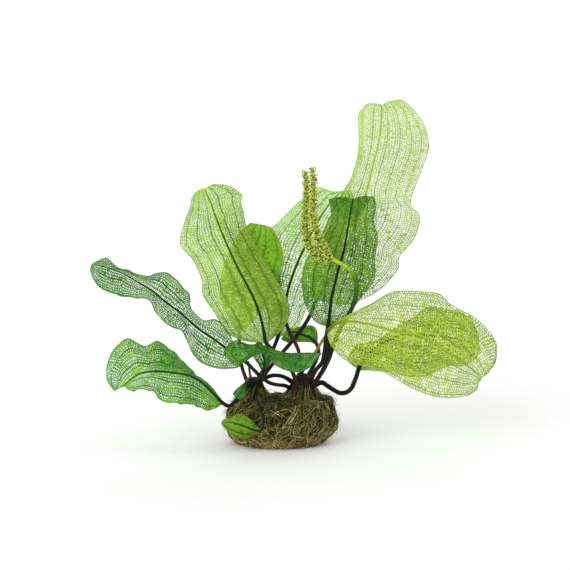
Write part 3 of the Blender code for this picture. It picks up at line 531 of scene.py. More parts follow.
class Blade:
    """The middle surface of one leaf's blade. u runs from -1 to 1 across it, v along its rows."""

    def __init__(self, leaf, look, seed):
        rows = np.array(leaf.rows, float).reshape(-1, 3, 3)
        base = np.array(leaf.stalk[-1], float)
        side = unit(rows[0, 2] - rows[0, 0]) * look.radius
        root = np.array([base - side, base, base + side])
        self.rails = np.concatenate([root[None], rows])
        self.last = len(self.rails) - 1
        self.ruffle = look.ruffle
        self.phase = np.random.default_rng(seed).uniform(0, math.tau, 4)

    def point(self, u, v):
        """Points of the surface, which bows beside the midrib and curls at the margin."""
        first, middle, last = (smooth(self.rails[:, i], v) for i in range(3))
        ahead = smooth(self.rails[:, 1], v + 0.02) - smooth(self.rails[:, 1], v - 0.02)
        normal = unit(np.cross(last - first, ahead))
        edge = np.where((u > 0)[..., None], last, first) - middle
        reach = np.abs(u)[..., None]
        width = np.linalg.norm(edge, axis=-1, keepdims=True)
        bow = normal * width * BLADE_BOW * 4 * reach * (1 - reach)
        side = np.where(u > 0, 0, 1)
        slow, fast = RUFFLE_WAVES
        wave = np.sin(v * slow + self.phase[side]) + 0.6 * np.sin(v * fast + self.phase[side + 2])
        curl = normal * wave[..., None] * self.ruffle * reach**2.5 * np.minimum(1, width / 10)
        return middle + edge * reach + bow + curl

    def normal(self, u, v):
        """Directions out of the surface."""
        step_u = self.point(np.minimum(u + 0.02, 1), v) - self.point(np.maximum(u - 0.02, -1), v)
        step_v = self.point(u, v + 0.03) - self.point(u, v - 0.03)
        return unit(np.cross(step_u, step_v))

    def even_rows(self, spacing):
        """Row numbers an even distance apart, on average over the blade's width."""
        v = np.linspace(0, self.last, 60 * self.last)
        run = np.mean([distances(self.point(np.full_like(v, u), v)) for u in (-0.7, 0.0, 0.7)], axis=0)
        count = max(4, int(run[-1] / spacing))
        step = np.linspace(0, 1, 2 * count + 1)
        return np.interp(run[-1] * step * (1.2 - 0.2 * step), run, v)

    def half_width(self, side):
        """The usual distance from the midrib to one margin."""
        rail = self.rails[:, 2] if side > 0 else self.rails[:, 0]
        return float(np.percentile(np.linalg.norm(rail - self.rails[:, 1], axis=1), 75))


# Meshes


class MeshParts:
    """Collects points, faces and values for one object."""

    def __init__(self):
        self.points, self.faces, self.slots, self.values = [], [], [], {}
        self.count = 0

    def add(self, points, face_lists, slot=0, **values):
        """Adds points in mm, and arrays of faces that each have their own number of corners."""
        points = np.asarray(points, float).reshape(-1, 3)
        for faces in face_lists:
            faces = np.asarray(faces, int)
            if faces.size:
                self.faces.append(faces + self.count)
                self.slots.append(np.full(len(faces), slot))
        for name in ("margin", "along", "vein", "tone", "shade"):
            value = np.broadcast_to(np.asarray(values.get(name, 0.0), float), (len(points),))
            self.values.setdefault(name, []).append(value)
        self.points.append(points)
        self.count += len(points)

    def build(self, name, materials):
        """Makes one object of it all, with a material for each slot."""
        mesh = bpy.data.meshes.new(name)
        points = np.concatenate(self.points) * MM
        sizes = np.concatenate([np.full(len(f), f.shape[1]) for f in self.faces])
        corners = np.concatenate([f.ravel() for f in self.faces])
        mesh.vertices.add(len(points))
        mesh.vertices.foreach_set("co", points.ravel())
        mesh.loops.add(len(corners))
        mesh.loops.foreach_set("vertex_index", corners)
        mesh.polygons.add(len(sizes))
        mesh.polygons.foreach_set("loop_start", np.concatenate([[0], np.cumsum(sizes)[:-1]]))
        mesh.polygons.foreach_set("loop_total", sizes)
        mesh.polygons.foreach_set("material_index", np.concatenate(self.slots))
        mesh.polygons.foreach_set("use_smooth", np.ones(len(sizes), bool))
        for key, parts in self.values.items():
            mesh.attributes.new(key, "FLOAT", "POINT").data.foreach_set("value", np.concatenate(parts))
        mesh.update(calc_edges=True)
        mesh.validate()
        for surface in materials:
            mesh.materials.append(surface)
        made = bpy.data.objects.new(name, mesh)
        bpy.context.scene.collection.objects.link(made)
        return made


def ring_faces(bodies, rings, sides):
    """Faces of bodies whose points run ring by ring, with both ends capped."""
    start = (np.arange(bodies) * rings * sides)[:, None, None]
    level = start + (np.arange(rings - 1) * sides)[None, :, None]
    at = level + np.arange(sides)
    turn = level + (np.arange(sides) + 1) % sides
    quads = np.stack([at, turn, turn + sides, at + sides], -1).reshape(-1, 4)
    first = start[:, 0] + np.arange(sides)[::-1]
    return [quads, first, start[:, 0] + (rings - 1) * sides + np.arange(sides)]


def tube_parts(paths, radii, sides):
    """Points and faces of round tubes with capped ends. paths is (tubes, points, 3)."""
    paths = np.asarray(paths, float)
    tubes, count, _ = paths.shape
    radii = np.broadcast_to(np.asarray(radii, float), (tubes, count))
    ahead = unit(np.gradient(paths, axis=1))
    side = np.empty_like(ahead)
    side[:, 0] = unit(np.cross(ahead[:, 0], [0.3, 0.2, 0.93]))
    for i in range(1, count):
        last = side[:, i - 1]
        side[:, i] = unit(last - ahead[:, i] * np.sum(last * ahead[:, i], -1, keepdims=True))
    other = np.cross(ahead, side)
    angle = np.arange(sides) * math.tau / sides
    ring = side[:, :, None] * np.cos(angle)[:, None] + other[:, :, None] * np.sin(angle)[:, None]
    points = paths[:, :, None] + ring * radii[..., None, None]
    return points.reshape(-1, 3), ring_faces(tubes, count, sides)


def leaf_tracks(blade, look):
    """Where the lengthwise veins lie across the blade, how bold each is, and the midrib's place."""
    sides = []
    for side in (-1, 1):
        width = blade.half_width(side)
        comb = min(WIDEST_COMB, look.comb[1] / width)
        hem = min(WIDEST_HEM, look.hems[0 if side < 0 else 1] / width)
        cell_width = look.cell[0] * COARSER
        count = max(2, int(round(width * (1 - comb - hem) / cell_width)))
        step = np.linspace(0, 1, count + 1)
        inner = comb + (1 - hem - comb) * step * (1.3 - 0.3 * step)
        bold = [0.0] + [1.0 if i % BOLD_VEIN_EVERY == 2 else 0.2 for i in range(1, count)] + [0.3]
        sides.append((np.append(inner, 1.0), np.append(bold, 0.5)))
    (left, left_bold), (right, right_bold) = sides
    u = np.concatenate([-left[::-1], [0.0], right])
    bold = np.concatenate([left_bold[::-1], [1.0], right_bold])
    return u, bold, len(left)


def wander(x, y, rng):
    """A smooth random shift, in mm, for points at x and y mm on a sheet."""
    shift = 0.0
    for wavelength in WANDER_LENGTHS:
        turn, phase = rng.uniform(0, math.tau, 2)
        wave = np.sin((x * math.cos(turn) + y * math.sin(turn)) * math.tau / wavelength + phase)
        shift = shift + wave * wavelength * WANDER_SHARE
    return shift


def net_grid(blade, look, rng):
    """Uneven lines of points where the net's threads meet, and what is known of each point."""
    u, bold, centre = leaf_tracks(blade, look)
    v = blade.even_rows(look.cell[1] * COARSER)
    rows, tracks = len(v), len(u)
    middle = blade.point(np.zeros(rows), v)
    left, right = (blade.point(np.full(rows, side), v) - middle for side in (-1.0, 1.0))
    left, right = (np.linalg.norm(reach, axis=1)[:, None] for reach in (left, right))
    width = np.where(u[None] < 0, left, right)
    run = distances(middle)
    x, y = u[None] * width, np.repeat(run[:, None], tracks, 1)
    inside = np.clip(np.minimum(np.abs(x), width - np.abs(x)) / CALM_SIDE, 0, 1)
    along = np.clip(np.minimum(y, run[-1] - y) / CALM_END, 0, 1)
    half_row = (v[-1] - v[0]) / (rows - 1)
    free = np.ones((rows, tracks))
    free[:, [0, centre, tracks - 1]] = 0
    free[[0, -1]] = 0
    gap = np.minimum(np.diff(u, prepend=-1.1), np.diff(u, append=1.1))
    calm = 1 - 0.7 * bold
    shake_u, shake_v = (
        rng.normal(0, spread, (rows, tracks)).clip(-limit, limit) for spread, limit in SHAKES
    )
    shake_u = shake_u * gap * calm
    drift_u = wander(x, y, rng) * inside * along * calm / np.maximum(width, 1.0)
    drift_v = wander(x, y, rng) * inside * along / (run[-1] / (rows - 1))
    grid_u = u[None] + free * (shake_u + drift_u)
    grid_v = v[:, None] + free * (shake_v + drift_v) * half_row
    margin = (1 - np.abs(grid_u)) * width
    return grid_u, grid_v, bold, centre, margin


def net_cells(rows, tracks):
    """The six grid points around each cell, its column, and the four-sided cells that fill the ends.

    Cells of neighbouring columns are staggered by half a cell.
    """
    starts, columns, fillers = [], [], []
    for column in range(tracks - 1):
        offset = column % 2
        start = np.arange(offset, rows - 2, 2) * tracks + column
        starts.append(start)
        columns.append(np.full_like(start, column))
        if offset:
            for at in (column, (rows - 2) * tracks + column):
                fillers.append([at, at + 1, at + 1 + tracks, at + tracks])
    start = np.concatenate(starts)
    around = (0, 1, 1 + tracks, 1 + 2 * tracks, 2 * tracks, tracks)
    return start[:, None] + np.array(around), np.concatenate(columns), np.array(fillers).reshape(-1, 4)


def cell_openness(look, column, share, centre, rng):
    """The share of each cell that is a hole. Some cells have none."""
    left, right = (np.interp(share, np.linspace(0, 1, len(s)), s) for s in look.holes)
    openness = np.where(column < centre, left, right)
    comb = (column == centre) | (column == centre - 1)
    openness = np.where(comb, np.maximum(openness, look.comb[0] * (1 - 0.5 * share)), openness)
    patch = np.sin(share * 23 + column * 0.9) * np.sin(share * 11 - column * 0.35 + 1.3)
    openness = openness * (1 + 0.2 * patch)
    spread, shut = look.vary
    openness = openness * rng.lognormal(0, spread, len(column)) + rng.normal(0, 0.02, len(column))
    openness = np.where(rng.random(len(column)) < shut, 0, openness / (1 - shut))
    near_end = np.minimum(1, np.minimum(share / 0.03, (1 - share) / 0.04))
    return np.clip(openness * near_end, 0, MOST_OPEN)


def cell_holes(points, cells, openness, threads, rib, rng):
    """Which cells are open, and the six corners of each hole."""
    corner = points.reshape(-1, 3)[cells]
    a, b, _, c, d, _ = corner.transpose(1, 0, 2)
    wide = np.linalg.norm(b + c - a - d, axis=1) / 2
    high = np.linalg.norm(c + d - a - b, axis=1) / 2
    left, right = threads
    filled = openness / FULL_HOLE
    hole_wide = np.minimum(wide - left - right, filled ** (1 - HOLE_STRETCH) * (wide - rib))
    hole_high = np.minimum(high - THREAD_ALONG, filled**HOLE_STRETCH * high)
    is_open = (openness > LEAST_OPEN) & (hole_wide > LEAST_HOLE[0]) & (hole_high > LEAST_HOLE[1])
    across = 0.5 + (left - right) / 2 / wide
    half_wide, half_high = hole_wide / 2 / wide, hole_high / 2 / high
    nip = rng.uniform(0.62, 0.95, len(cells))
    lean = rng.uniform(-0.5, 0.5, len(cells)) * (0.5 - half_high)
    s = np.stack([across + half_wide * side for side in (-nip, nip, 1, nip, -nip, -1)], -1)
    t = np.stack([0.5 + half_high * up + lean * side for side, up in HOLE_CORNERS], -1)
    s, t = s[is_open][..., None], t[is_open][..., None]
    a, b, c, d = (p[is_open][:, None] for p in (a, b, c, d))
    return is_open, (a * (1 - s) + b * s) * (1 - t) + (d * (1 - s) + c * s) * t


def add_net(parts, blade, look, rng):
    """The blade as a net of veins with a hole in most cells of it."""
    grid_u, grid_v, bold, centre, margin = net_grid(blade, look, rng)
    rows, tracks = grid_u.shape
    total = rows * tracks
    points = blade.point(grid_u, grid_v)
    rise = (VEIN_RISE + BOLD_VEIN_RISE * bold * np.linspace(1, 0.6, rows)[:, None])[..., None]
    lift = blade.normal(grid_u, grid_v) * rise
    share = grid_v / blade.last
    cells, column, fillers = net_cells(rows, tracks)
    middle_share = share.ravel()[cells[:, 5]]
    openness = cell_openness(look, column, middle_share, centre, rng)
    openness[(column == 0) | (column == tracks - 2)] = 0
    rib = rib_radius(look, middle_share) + 0.2
    by_rib = (column == centre) | (column == centre - 1)
    threads = (
        np.where(column == centre, rib, THREAD + BOLD_THREAD * bold[column]),
        np.where(column == centre - 1, rib, THREAD + BOLD_THREAD * bold[column + 1]),
    )
    is_open, rim = cell_holes(points, cells, openness, threads, np.where(by_rib, rib, 0), rng)
    netted, whole = cells[is_open], cells[~is_open]
    hubs = points.reshape(-1, 3)[whole].mean(1)
    dome = blade.normal(grid_u, grid_v).reshape(-1, 3)[whole[:, 0]] * CELL_DOME
    rim_at = 2 * total + np.arange(len(netted) * 6).reshape(-1, 6)
    hub_at = 2 * total + rim_at.size + np.arange(len(whole))
    triangles, quads = [], []
    for level, hub, way in ((0, hub_at, 1), (total, hub_at + len(whole), -1)):
        for i in range(6):
            j = (i + 1) % 6
            quads.append(np.stack([
                netted[:, i] + level, netted[:, j] + level, rim_at[:, j], rim_at[:, i],
            ], -1)[:, ::way])
            triangles.append(np.stack([whole[:, i] + level, whole[:, j] + level, hub], -1)[:, ::way])
        quads.append((fillers + level)[:, ::way])
    ring = np.concatenate([
        np.arange(tracks), np.arange(1, rows) * tracks + tracks - 1,
        (rows - 1) * tracks + np.arange(tracks - 2, -1, -1), np.arange(rows - 2, 0, -1) * tracks,
    ])
    after = np.roll(ring, -1)
    quads.append(np.stack([after, ring, ring + total, after + total], -1))

    def spread(grid_value, cell_value):
        """A value for every point of the net, from those of the grid and of the cells."""
        grid_value = np.tile(np.broadcast_to(grid_value, (rows, tracks)).ravel(), 2)
        open_value, whole_value = cell_value[is_open], cell_value[~is_open]
        return np.concatenate([grid_value, np.repeat(open_value, 6), np.tile(whole_value, 2)])

    # Painted shading on one side of the midrib, over the lower part of the blade: a positive depth paints
    # shade, a negative one paints light.
    side, until, depth = look.painted_shading
    dim = depth * np.clip(grid_u * side * 6, 0, 1) * np.clip((until - share) / 0.15, 0, 1)
    parts.add(
        np.concatenate([
            (points + lift).reshape(-1, 3), (points - lift).reshape(-1, 3), rim.reshape(-1, 3),
            hubs + dome, hubs - dome,
        ]),
        [np.concatenate(triangles), np.concatenate(quads)],
        margin=spread(margin / 10, margin.ravel()[cells].mean(1) / 10),
        along=spread(share, middle_share),
        vein=spread(0.35 + 0.65 * bold[None], np.where(is_open, 0.15, 0.0)),
        tone=spread(rng.uniform(0.2, 0.8, (rows, tracks)), rng.uniform(0, 1, len(cells))),
        shade=spread(dim, dim.ravel()[cells].mean(1)),
    )


def rib_radius(look, share):
    """The midrib's radius at a share of the blade's length."""
    stops = (look.hold, look.hold + 0.1, look.hold + 0.5, 1)
    foot = (look.stout + RIB_FOOT_SWELL) * look.radius
    return np.interp(share, stops, (look.radius, foot, look.stout * look.radius, RIB_TIP))


def add_stem(parts, route, radii_at, slot, sides=14, spacing=1.4):
    """A round stem along a route, with its radius given at shares of its length."""
    path, length = even_path(route, spacing * (1))
    share = np.linspace(0, 1, len(path))
    radii = np.interp(share, *zip(*radii_at))
    radii = radii * (1 + 0.03 * np.sin(share * length * 0.5) + 0.02 * np.sin(share * length * 1.3 + 1))
    points, faces = tube_parts(path[None], radii[None], sides)
    parts.add(points, faces, slot, along=np.repeat(share, sides))


# Materials


class Nodes:
    """A short way to build one material's nodes."""

    def __init__(self, name):
        self.material = bpy.data.materials.new(name)
        self.material.use_nodes = True
        self.tree = self.material.node_tree
        self.shader = self.tree.nodes["Principled BSDF"]
        self.output = self.tree.nodes["Material Output"]

    def add(self, kind, **inputs):
        """A new node, with a value or a link for each input named."""
        node = self.tree.nodes.new(kind)
        for name, value in inputs.items():
            self.put(node, name.replace("_", " "), value)
        return node

    def put(self, node, name, value):
        """Links a socket to one of the node's inputs, or sets the input to a value."""
        socket = node.inputs[name]
        if isinstance(value, bpy.types.NodeSocket):
            self.tree.links.new(value, socket)
        else:
            socket.default_value = value

    def value(self, name):
        """One of the values that the mesh has at each point."""
        node = self.tree.nodes.new("ShaderNodeAttribute")
        node.attribute_name = name
        return node.outputs["Fac"]

    def noise(self, scale, detail=3.0, roughness=0.55):
        """Soft random patches that are fixed to the object."""
        where = self.tree.nodes.new("ShaderNodeTexCoord").outputs["Object"]
        node = self.add("ShaderNodeTexNoise", Vector=where, Scale=scale, Detail=detail, Roughness=roughness)
        return node.outputs["Fac"]

    def ramp(self, value, low, high, to_low=0.0, to_high=1.0):
        """The value, carried from one range to another and held inside it."""
        node = self.tree.nodes.new("ShaderNodeMapRange")
        node.clamp = True
        for i, v in enumerate((value, low, high, to_low, to_high)):
            self.put(node, i, v)
        return node.outputs[0]

    def mix(self, factor, one, two, blend="MIX"):
        """A colour between two."""
        node = self.tree.nodes.new("ShaderNodeMix")
        node.data_type = "RGBA"
        node.blend_type = blend
        for i, v in ((0, factor), (6, one), (7, two)):
            v = (*v, 1.0) if isinstance(v, tuple) and len(v) == 3 else v
            self.put(node, i, v)
        return node.outputs[2]

    def dim(self, colour, factor):
        """The colour times a value."""
        grey = self.add("ShaderNodeCombineColor", Red=factor, Green=factor, Blue=factor).outputs[0]
        return self.mix(1.0, colour, grey, "MULTIPLY")

    def maths(self, operation, one, two):
        """Two values put together by one operation."""
        node = self.tree.nodes.new("ShaderNodeMath")
        node.operation = operation
        self.put(node, 0, one)
        self.put(node, 1, two)
        return node.outputs[0]

    def finish(self, colour, roughness, height, depth, specular, glow=0.0):
        """Sets the shader. glow is the share of light that passes through."""
        shader = self.shader
        self.put(shader, "Base Color", colour)
        self.put(shader, "Roughness", roughness)
        self.put(shader, "Specular IOR Level", specular)
        bump = self.add("ShaderNodeBump", Strength=0.6, Distance=depth, Height=height)
        self.put(shader, "Normal", bump.outputs[0])
        if glow:
            through = self.add("ShaderNodeBsdfTranslucent", Color=colour)
            blend = self.tree.nodes.new("ShaderNodeMixShader")
            blend.inputs[0].default_value = glow
            self.tree.links.new(shader.outputs[0], blend.inputs[1])
            self.tree.links.new(through.outputs[0], blend.inputs[2])
            self.tree.links.new(blend.outputs[0], self.output.inputs[0])
        return self.material


def leaf_material(name, look):
    """The blade: two tones in soft patches, paler or darker veins, a firmer margin that is partly painted
    shade of its curl, and painted shading over part of some blades.
    """
    n = Nodes(name)
    cell = n.ramp(n.value("tone"), 0.0, 1.0, -0.16, 0.16)
    tone = n.ramp(n.maths("ADD", n.noise(38.0, 4.0), cell), 0.33, 0.67)
    colour = n.mix(tone, srgb(*look.dark), srgb(*look.light))
    for value, ends, tint in (
        ("vein", (0.3, 0.6, 0.0, 0.75), look.vein),
        ("vein", (0.7, 1.0, 0.0, look.bold), look.rib),
        # The margin band takes the edge colour: the margin's own firmer tissue, partly painted shade of its
        # curl.
        ("margin", (0.0, 0.09, 0.85, 0.0), look.edge),
        ("along", (0.0, 0.16, 0.55, 0.0), look.dark),
    ):
        colour = n.mix(n.ramp(n.value(value), *ends), colour, srgb(*tint))
    speckle = n.ramp(n.noise(900.0, 2.0), 0.3, 0.7, 0.8, 1.16)
    # The value "shade" darkens the blade as painted shade, and lightens it as painted light where it is
    # below zero.
    colour = n.dim(colour, n.maths("SUBTRACT", speckle, n.value("shade")))
    roughness = n.ramp(n.noise(260.0), 0.3, 0.7, 0.34, 0.52)
    height = n.maths("ADD", n.noise(1500.0, 3.0), n.maths("MULTIPLY", n.noise(420.0), 1.5))
    return n.finish(colour, roughness, height, 0.0003, 0.2, glow=0.35)


def stem_material(name, stops):
    """A stem whose colour changes along it, with fine streaks. stops is (share, colour)."""
    n = Nodes(name)
    ramp = n.tree.nodes.new("ShaderNodeValToRGB")
    band = ramp.color_ramp
    while len(band.elements) < len(stops):
        band.elements.new(0.5)
    for element, (share, colour) in zip(band.elements, stops):
        element.position = share
        element.color = (*srgb(*colour), 1.0)
    shift = n.ramp(n.noise(90.0), 0.3, 0.7, -0.03, 0.03)
    n.tree.links.new(n.maths("ADD", n.value("along"), shift), ramp.inputs[0])
    colour = n.dim(ramp.outputs[0], n.ramp(n.noise(420.0, 4.0), 0.35, 0.7, 0.75, 1.25))
    roughness = n.ramp(n.noise(300.0), 0.3, 0.7, 0.28, 0.5)
    return n.finish(colour, roughness, n.noise(1300.0, 3.0), 0.0004, 0.13)


def tone_material(name, low, high, roughness, scale, low_tint=None, glow=0.0):
    """Many small things in one object: each takes its own shade between two colours.

    low_tint is a range of heights in mm and the colour that the lowest things take.
    """
    n = Nodes(name)
    colour = n.mix(n.value("tone"), srgb(*low), srgb(*high))
    if low_tint:
        (bottom, top), other = low_tint
        where = n.tree.nodes.new("ShaderNodeTexCoord").outputs["Object"]
        z = n.add("ShaderNodeSeparateXYZ", Vector=where).outputs[2]
        height = n.maths("ADD", z, n.ramp(n.noise(70.0), 0.3, 0.7, -0.006, 0.006))
        colour = n.mix(n.ramp(height, bottom * MM, top * MM, 0.85, 0.0), colour, srgb(*other))
    colour = n.dim(colour, n.ramp(n.noise(scale, 3.0), 0.3, 0.7, 0.72, 1.2))
    rough = n.ramp(n.noise(scale * 0.7), 0.3, 0.7, roughness - 0.08, roughness + 0.1)
    return n.finish(colour, rough, n.noise(scale * 2.5), 0.0004, 0.15, glow)


# Leaves


def make_leaf(name, seed):
    """One leaf: its net, and the stalk that runs on into the midrib."""
    leaf, look = LEAVES[name], LOOKS[name]
    rng = np.random.default_rng(seed)
    blade = Blade(leaf, look, seed)
    parts = MeshParts()
    add_net(parts, blade, look, rng)
    ribs = np.reshape(leaf.rows, (-1, 3, 3))[:, 1]
    stalk_length = even_path(leaf.stalk, 2)[1]
    length = stalk_length + even_path([leaf.stalk[-1], *ribs], 2)[1]
    at = stalk_length / length
    blade_stops = [(at + s * (1 - at), float(rib_radius(look, s))) for s in np.linspace(0, 1, 11)]
    foot_end = min(STALK_FOOT_LENGTH / length, at * 0.8)
    radii = ((0, look.radius * STALK_FOOT_SWELL), (foot_end, look.radius), *blade_stops)
    add_stem(parts, [*leaf.stalk, *ribs], radii, 1)
    rib_dark = tuple(c * 0.75 for c in look.rib)
    stops = (
        (0.0, look.foot), (at * 0.45, look.stalk), (at * 0.95, look.stalk),
        (at + 0.12 * (1 - at), rib_dark), (at + 0.8 * (1 - at), look.rib), (0.99, look.vein),
    )
    surfaces = [leaf_material(name + "_blade", look), stem_material(name + "_stalk", stops)]
    piece = parts.build(name + "_lace", surfaces)
    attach(piece, "root")
    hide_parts(name)


# Roots, crowns and flower


def wad_point(angle, height):
    """A point on the root wad. height runs from 0 at the bottom to 8 in the middle of its top."""
    z, left, right, depth = np.moveaxis(smooth(ROOT_RINGS, height), -1, 0)
    lump = np.sin(3 * angle + z / 6) + 0.6 * np.sin(7 * angle - z / 4)
    swell = 1 + 0.035 * lump * np.minimum(1, z / 8)
    middle, reach = (left + right) / 2, (right - left) / 2
    return np.stack([middle + reach * swell * np.cos(angle), depth * swell * np.sin(angle), z], -1)


def wad_normal(angle, height):
    """The direction out of the root wad."""
    around = wad_point(angle + 0.03, height) - wad_point(angle - 0.03, height)
    up = wad_point(angle, np.minimum(height + 0.06, 8)) - wad_point(angle, np.maximum(height - 0.06, 0))
    return unit(np.cross(around, up))


def add_fibres(parts, rng, count, zone, radius, lift, length, dullness, stray):
    """Root fibres that wander over the wad's surface and bend off it a little."""
    steps, sides = FIBRE_STEPS, FIBRE_SIDES
    angle = rng.uniform(0, math.tau, count)
    height = rng.uniform(*zone, count)
    heading = rng.uniform(0, math.tau, count)
    turn = rng.normal(0, 0.1, count)
    step = rng.uniform(*length, count) / steps
    top = rng.uniform(*lift, count)
    astray = rng.random(count) < stray
    paths = []
    for i in range(steps + 1):
        share = i / steps
        hug = np.sin(math.pi * share) * top - FIBRE_SINK
        rise = np.where(astray, top * 3.0 * share**1.5, hug)
        paths.append(wad_point(angle, height) + wad_normal(angle, height) * rise[:, None])
        heading = heading + turn + rng.normal(0, 0.14, count)
        reach = np.interp(height, *zip(*ROOT_REACH))
        angle = angle + np.cos(heading) * step / reach
        height = np.clip(height + np.sin(heading) * step / ROOT_RING_GAP, *FIBRE_RINGS)
    paths = np.stack(paths, 1)
    paths[..., 2] = np.maximum(paths[..., 2], FIBRE_FLOOR)
    thick = rng.uniform(*radius, count)[:, None] * np.linspace(1.15, 0.45, steps + 1)[None]
    points, faces = tube_parts(paths, thick, sides)
    shade = rng.random(count) ** dullness
    parts.add(points, faces, 0, tone=np.repeat(shade, (steps + 1) * sides))


def add_crown_fibres(parts, name, count, rng):
    """Fibres that run down a crown's flank and out over the wad."""
    (x, y), rings = CROWNS[name]
    steps, sides = FIBRE_STEPS, FIBRE_SIDES
    share = np.linspace(0, 1, steps + 1)[None]
    turn = rng.uniform(0, math.tau, count)[:, None] + rng.normal(0, 0.3, count)[:, None] * share
    start = rng.uniform(2, 13, count)[:, None]
    inner = np.interp(start, *zip(*rings)) * 1.02
    outer = rings[0][1] + rng.uniform(1, 9, count)[:, None]
    out = inner + (outer - inner) * share ** rng.uniform(0.8, 1.6, count)[:, None]
    rise = start * (1 - share) ** rng.uniform(0.9, 1.6, count)[:, None]
    paths = np.stack([x + out * np.cos(turn), y + out * np.sin(turn), ROOT_TOP + 0.4 + rise], -1)
    thick = rng.uniform(0.15, 0.32, count)[:, None] * (1.1 - 0.6 * share)
    points, faces = tube_parts(paths, thick, sides)
    parts.add(points, faces, 0, tone=np.repeat(rng.random(count) ** 1.8, (steps + 1) * sides))


def make_roots():
    """The wad of roots: a near-black core, partly painted shade of the gaps between the fibres, and fibres
    over all of it.
    """
    rng = np.random.default_rng(41)
    parts = MeshParts()
    around, up = 120, 60
    angle = np.linspace(0, math.tau, around, endpoint=False)[None].repeat(up, 0)
    height = np.linspace(0, 7.95, up)[:, None].repeat(around, 1)
    rough = rng.normal(0, 0.3, (up, around)) - 0.9
    rough[0] = -0.4
    points = wad_point(angle, height) + wad_normal(angle, height) * rough[..., None]
    points[..., 2] = np.maximum(points[..., 2], 0.25)
    parts.add(points, ring_faces(1, up, around), 0, tone=0.1)
    # The core's near-black colour is the roots' own dark brown, made darker still as painted shade of the
    # deep gaps between fibres.
    core = parts.build("root_wad_core", [
        tone_material("root_core_painted_shade", (8, 10, 3), (26, 27, 9), 0.85, 500.0, ((2, 10), (48, 38, 12)))
    ])
    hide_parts("root_mat")
    upper = MeshParts()
    for layer in UPPER_FIBRES:
        add_fibres(upper, rng, *layer)
    for crown, count in CROWN_FIBRES.items():
        add_crown_fibres(upper, crown, count, rng)
    golden_foot = ((2, 9), (140, 112, 40))
    olive = tone_material("root_fibre_olive", (9, 14, 3), (156, 156, 80), 0.7, 420.0, golden_foot)
    upper = upper.build("root_fibres_upper", [olive])
    lower = MeshParts()
    for layer in LOWER_FIBRES:
        add_fibres(lower, rng, *layer)
    tan = tone_material("root_fibre_tan", (36, 36, 8), (244, 222, 144), 0.65, 420.0)
    lower = lower.build("root_fibres_lower", [tan])
    for piece in (core, upper, lower):
        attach(piece, "root")


def make_crown(name, seed):
    """A crown: a knobbly core, with the stubs and sheaths of old leaf stalks around it."""
    (x, y), rings = CROWNS[name]
    rng = np.random.default_rng(seed)
    parts = MeshParts()
    around = 40
    angle = np.linspace(0, math.tau, around, endpoint=False)
    heights = np.linspace(0, len(rings) - 1, 26)
    z, radius = smooth(np.array([(h, r, 0) for h, r in rings], float), heights)[:, :2].T
    flute = 1 + 0.07 * np.sin(angle * 6 + 0.4)[None] + 0.04 * np.sin(angle * 11 + z[:, None] / 2)
    flute = flute + rng.normal(0, 0.015, flute.shape)
    r = radius[:, None] * 0.95 * flute
    up = ROOT_TOP + z[:, None] + 0 * r
    points = np.stack([x + r * np.cos(angle), y + r * np.sin(angle), up], -1)
    parts.add(points, ring_faces(1, len(z), around), 0, tone=0.25)
    count = CROWN_STUBS[name]
    turn = rng.uniform(0, math.tau, count)
    foot = radius[0] * rng.uniform(0.55, 0.98, count)
    tall = rng.uniform(0.45, 0.95, count) * z[-1]
    share = np.linspace(0, 1, STUB_STEPS)
    out = foot[:, None] * (1 - 0.45 * share**1.6) + 0.8 * np.sin(share * math.pi)
    twist = turn[:, None] + rng.normal(0, 0.12, count)[:, None] * share
    z = ROOT_TOP + 0.6 + tall[:, None] * share
    paths = np.stack([x + out * np.cos(twist), y + out * np.sin(twist), z], -1)
    thick = rng.uniform(0.9, 1.7, count)[:, None] * np.linspace(1.2, 0.5, STUB_STEPS)[None]
    tube, faces = tube_parts(paths, thick, STUB_SIDES)
    tones = rng.uniform(0.1, 1.0, count)
    parts.add(tube, faces, 0, tone=np.repeat(tones, STUB_STEPS * STUB_SIDES))
    mossy_foot = ((36, 42), (30, 26, 10))
    bark = tone_material(name + "_bark", (14, 10, 6), (60, 34, 24), 0.6, 380.0, mossy_foot)
    piece = parts.build(name + "_sheaths", [bark])
    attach(piece, "root")
    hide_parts(name)


def add_blobs(parts, centres, axes, radii, slot, tone, sides=6, rings=4):
    """Small round bodies, each stretched along its own axis. radii is (across, along)."""
    centres, axes = np.asarray(centres, float), unit(np.asarray(axes, float))
    side = unit(np.cross(axes, [0.31, 0.44, 0.84]))
    other = np.cross(axes, side)
    lat = np.linspace(-math.pi / 2, math.pi / 2, rings + 1)
    lat[0] += 0.25
    lat[-1] -= 0.25
    lon = np.arange(sides) * math.tau / sides
    flat = np.cos(lat)[:, None] * np.stack([np.cos(lon), np.sin(lon)])[:, None]
    count = len(centres)
    across, along = (np.broadcast_to(r, (count,))[:, None, None, None] for r in radii)
    points = (
        centres[:, None, None]
        + side[:, None, None] * flat[0][None, ..., None] * across
        + other[:, None, None] * flat[1][None, ..., None] * across
        + axes[:, None, None] * np.sin(lat)[None, :, None, None] * along
    )
    tone = np.repeat(np.broadcast_to(tone, (count,)), (rings + 1) * sides)
    parts.add(points, ring_faces(count, rings + 1, sides), slot, tone=tone)


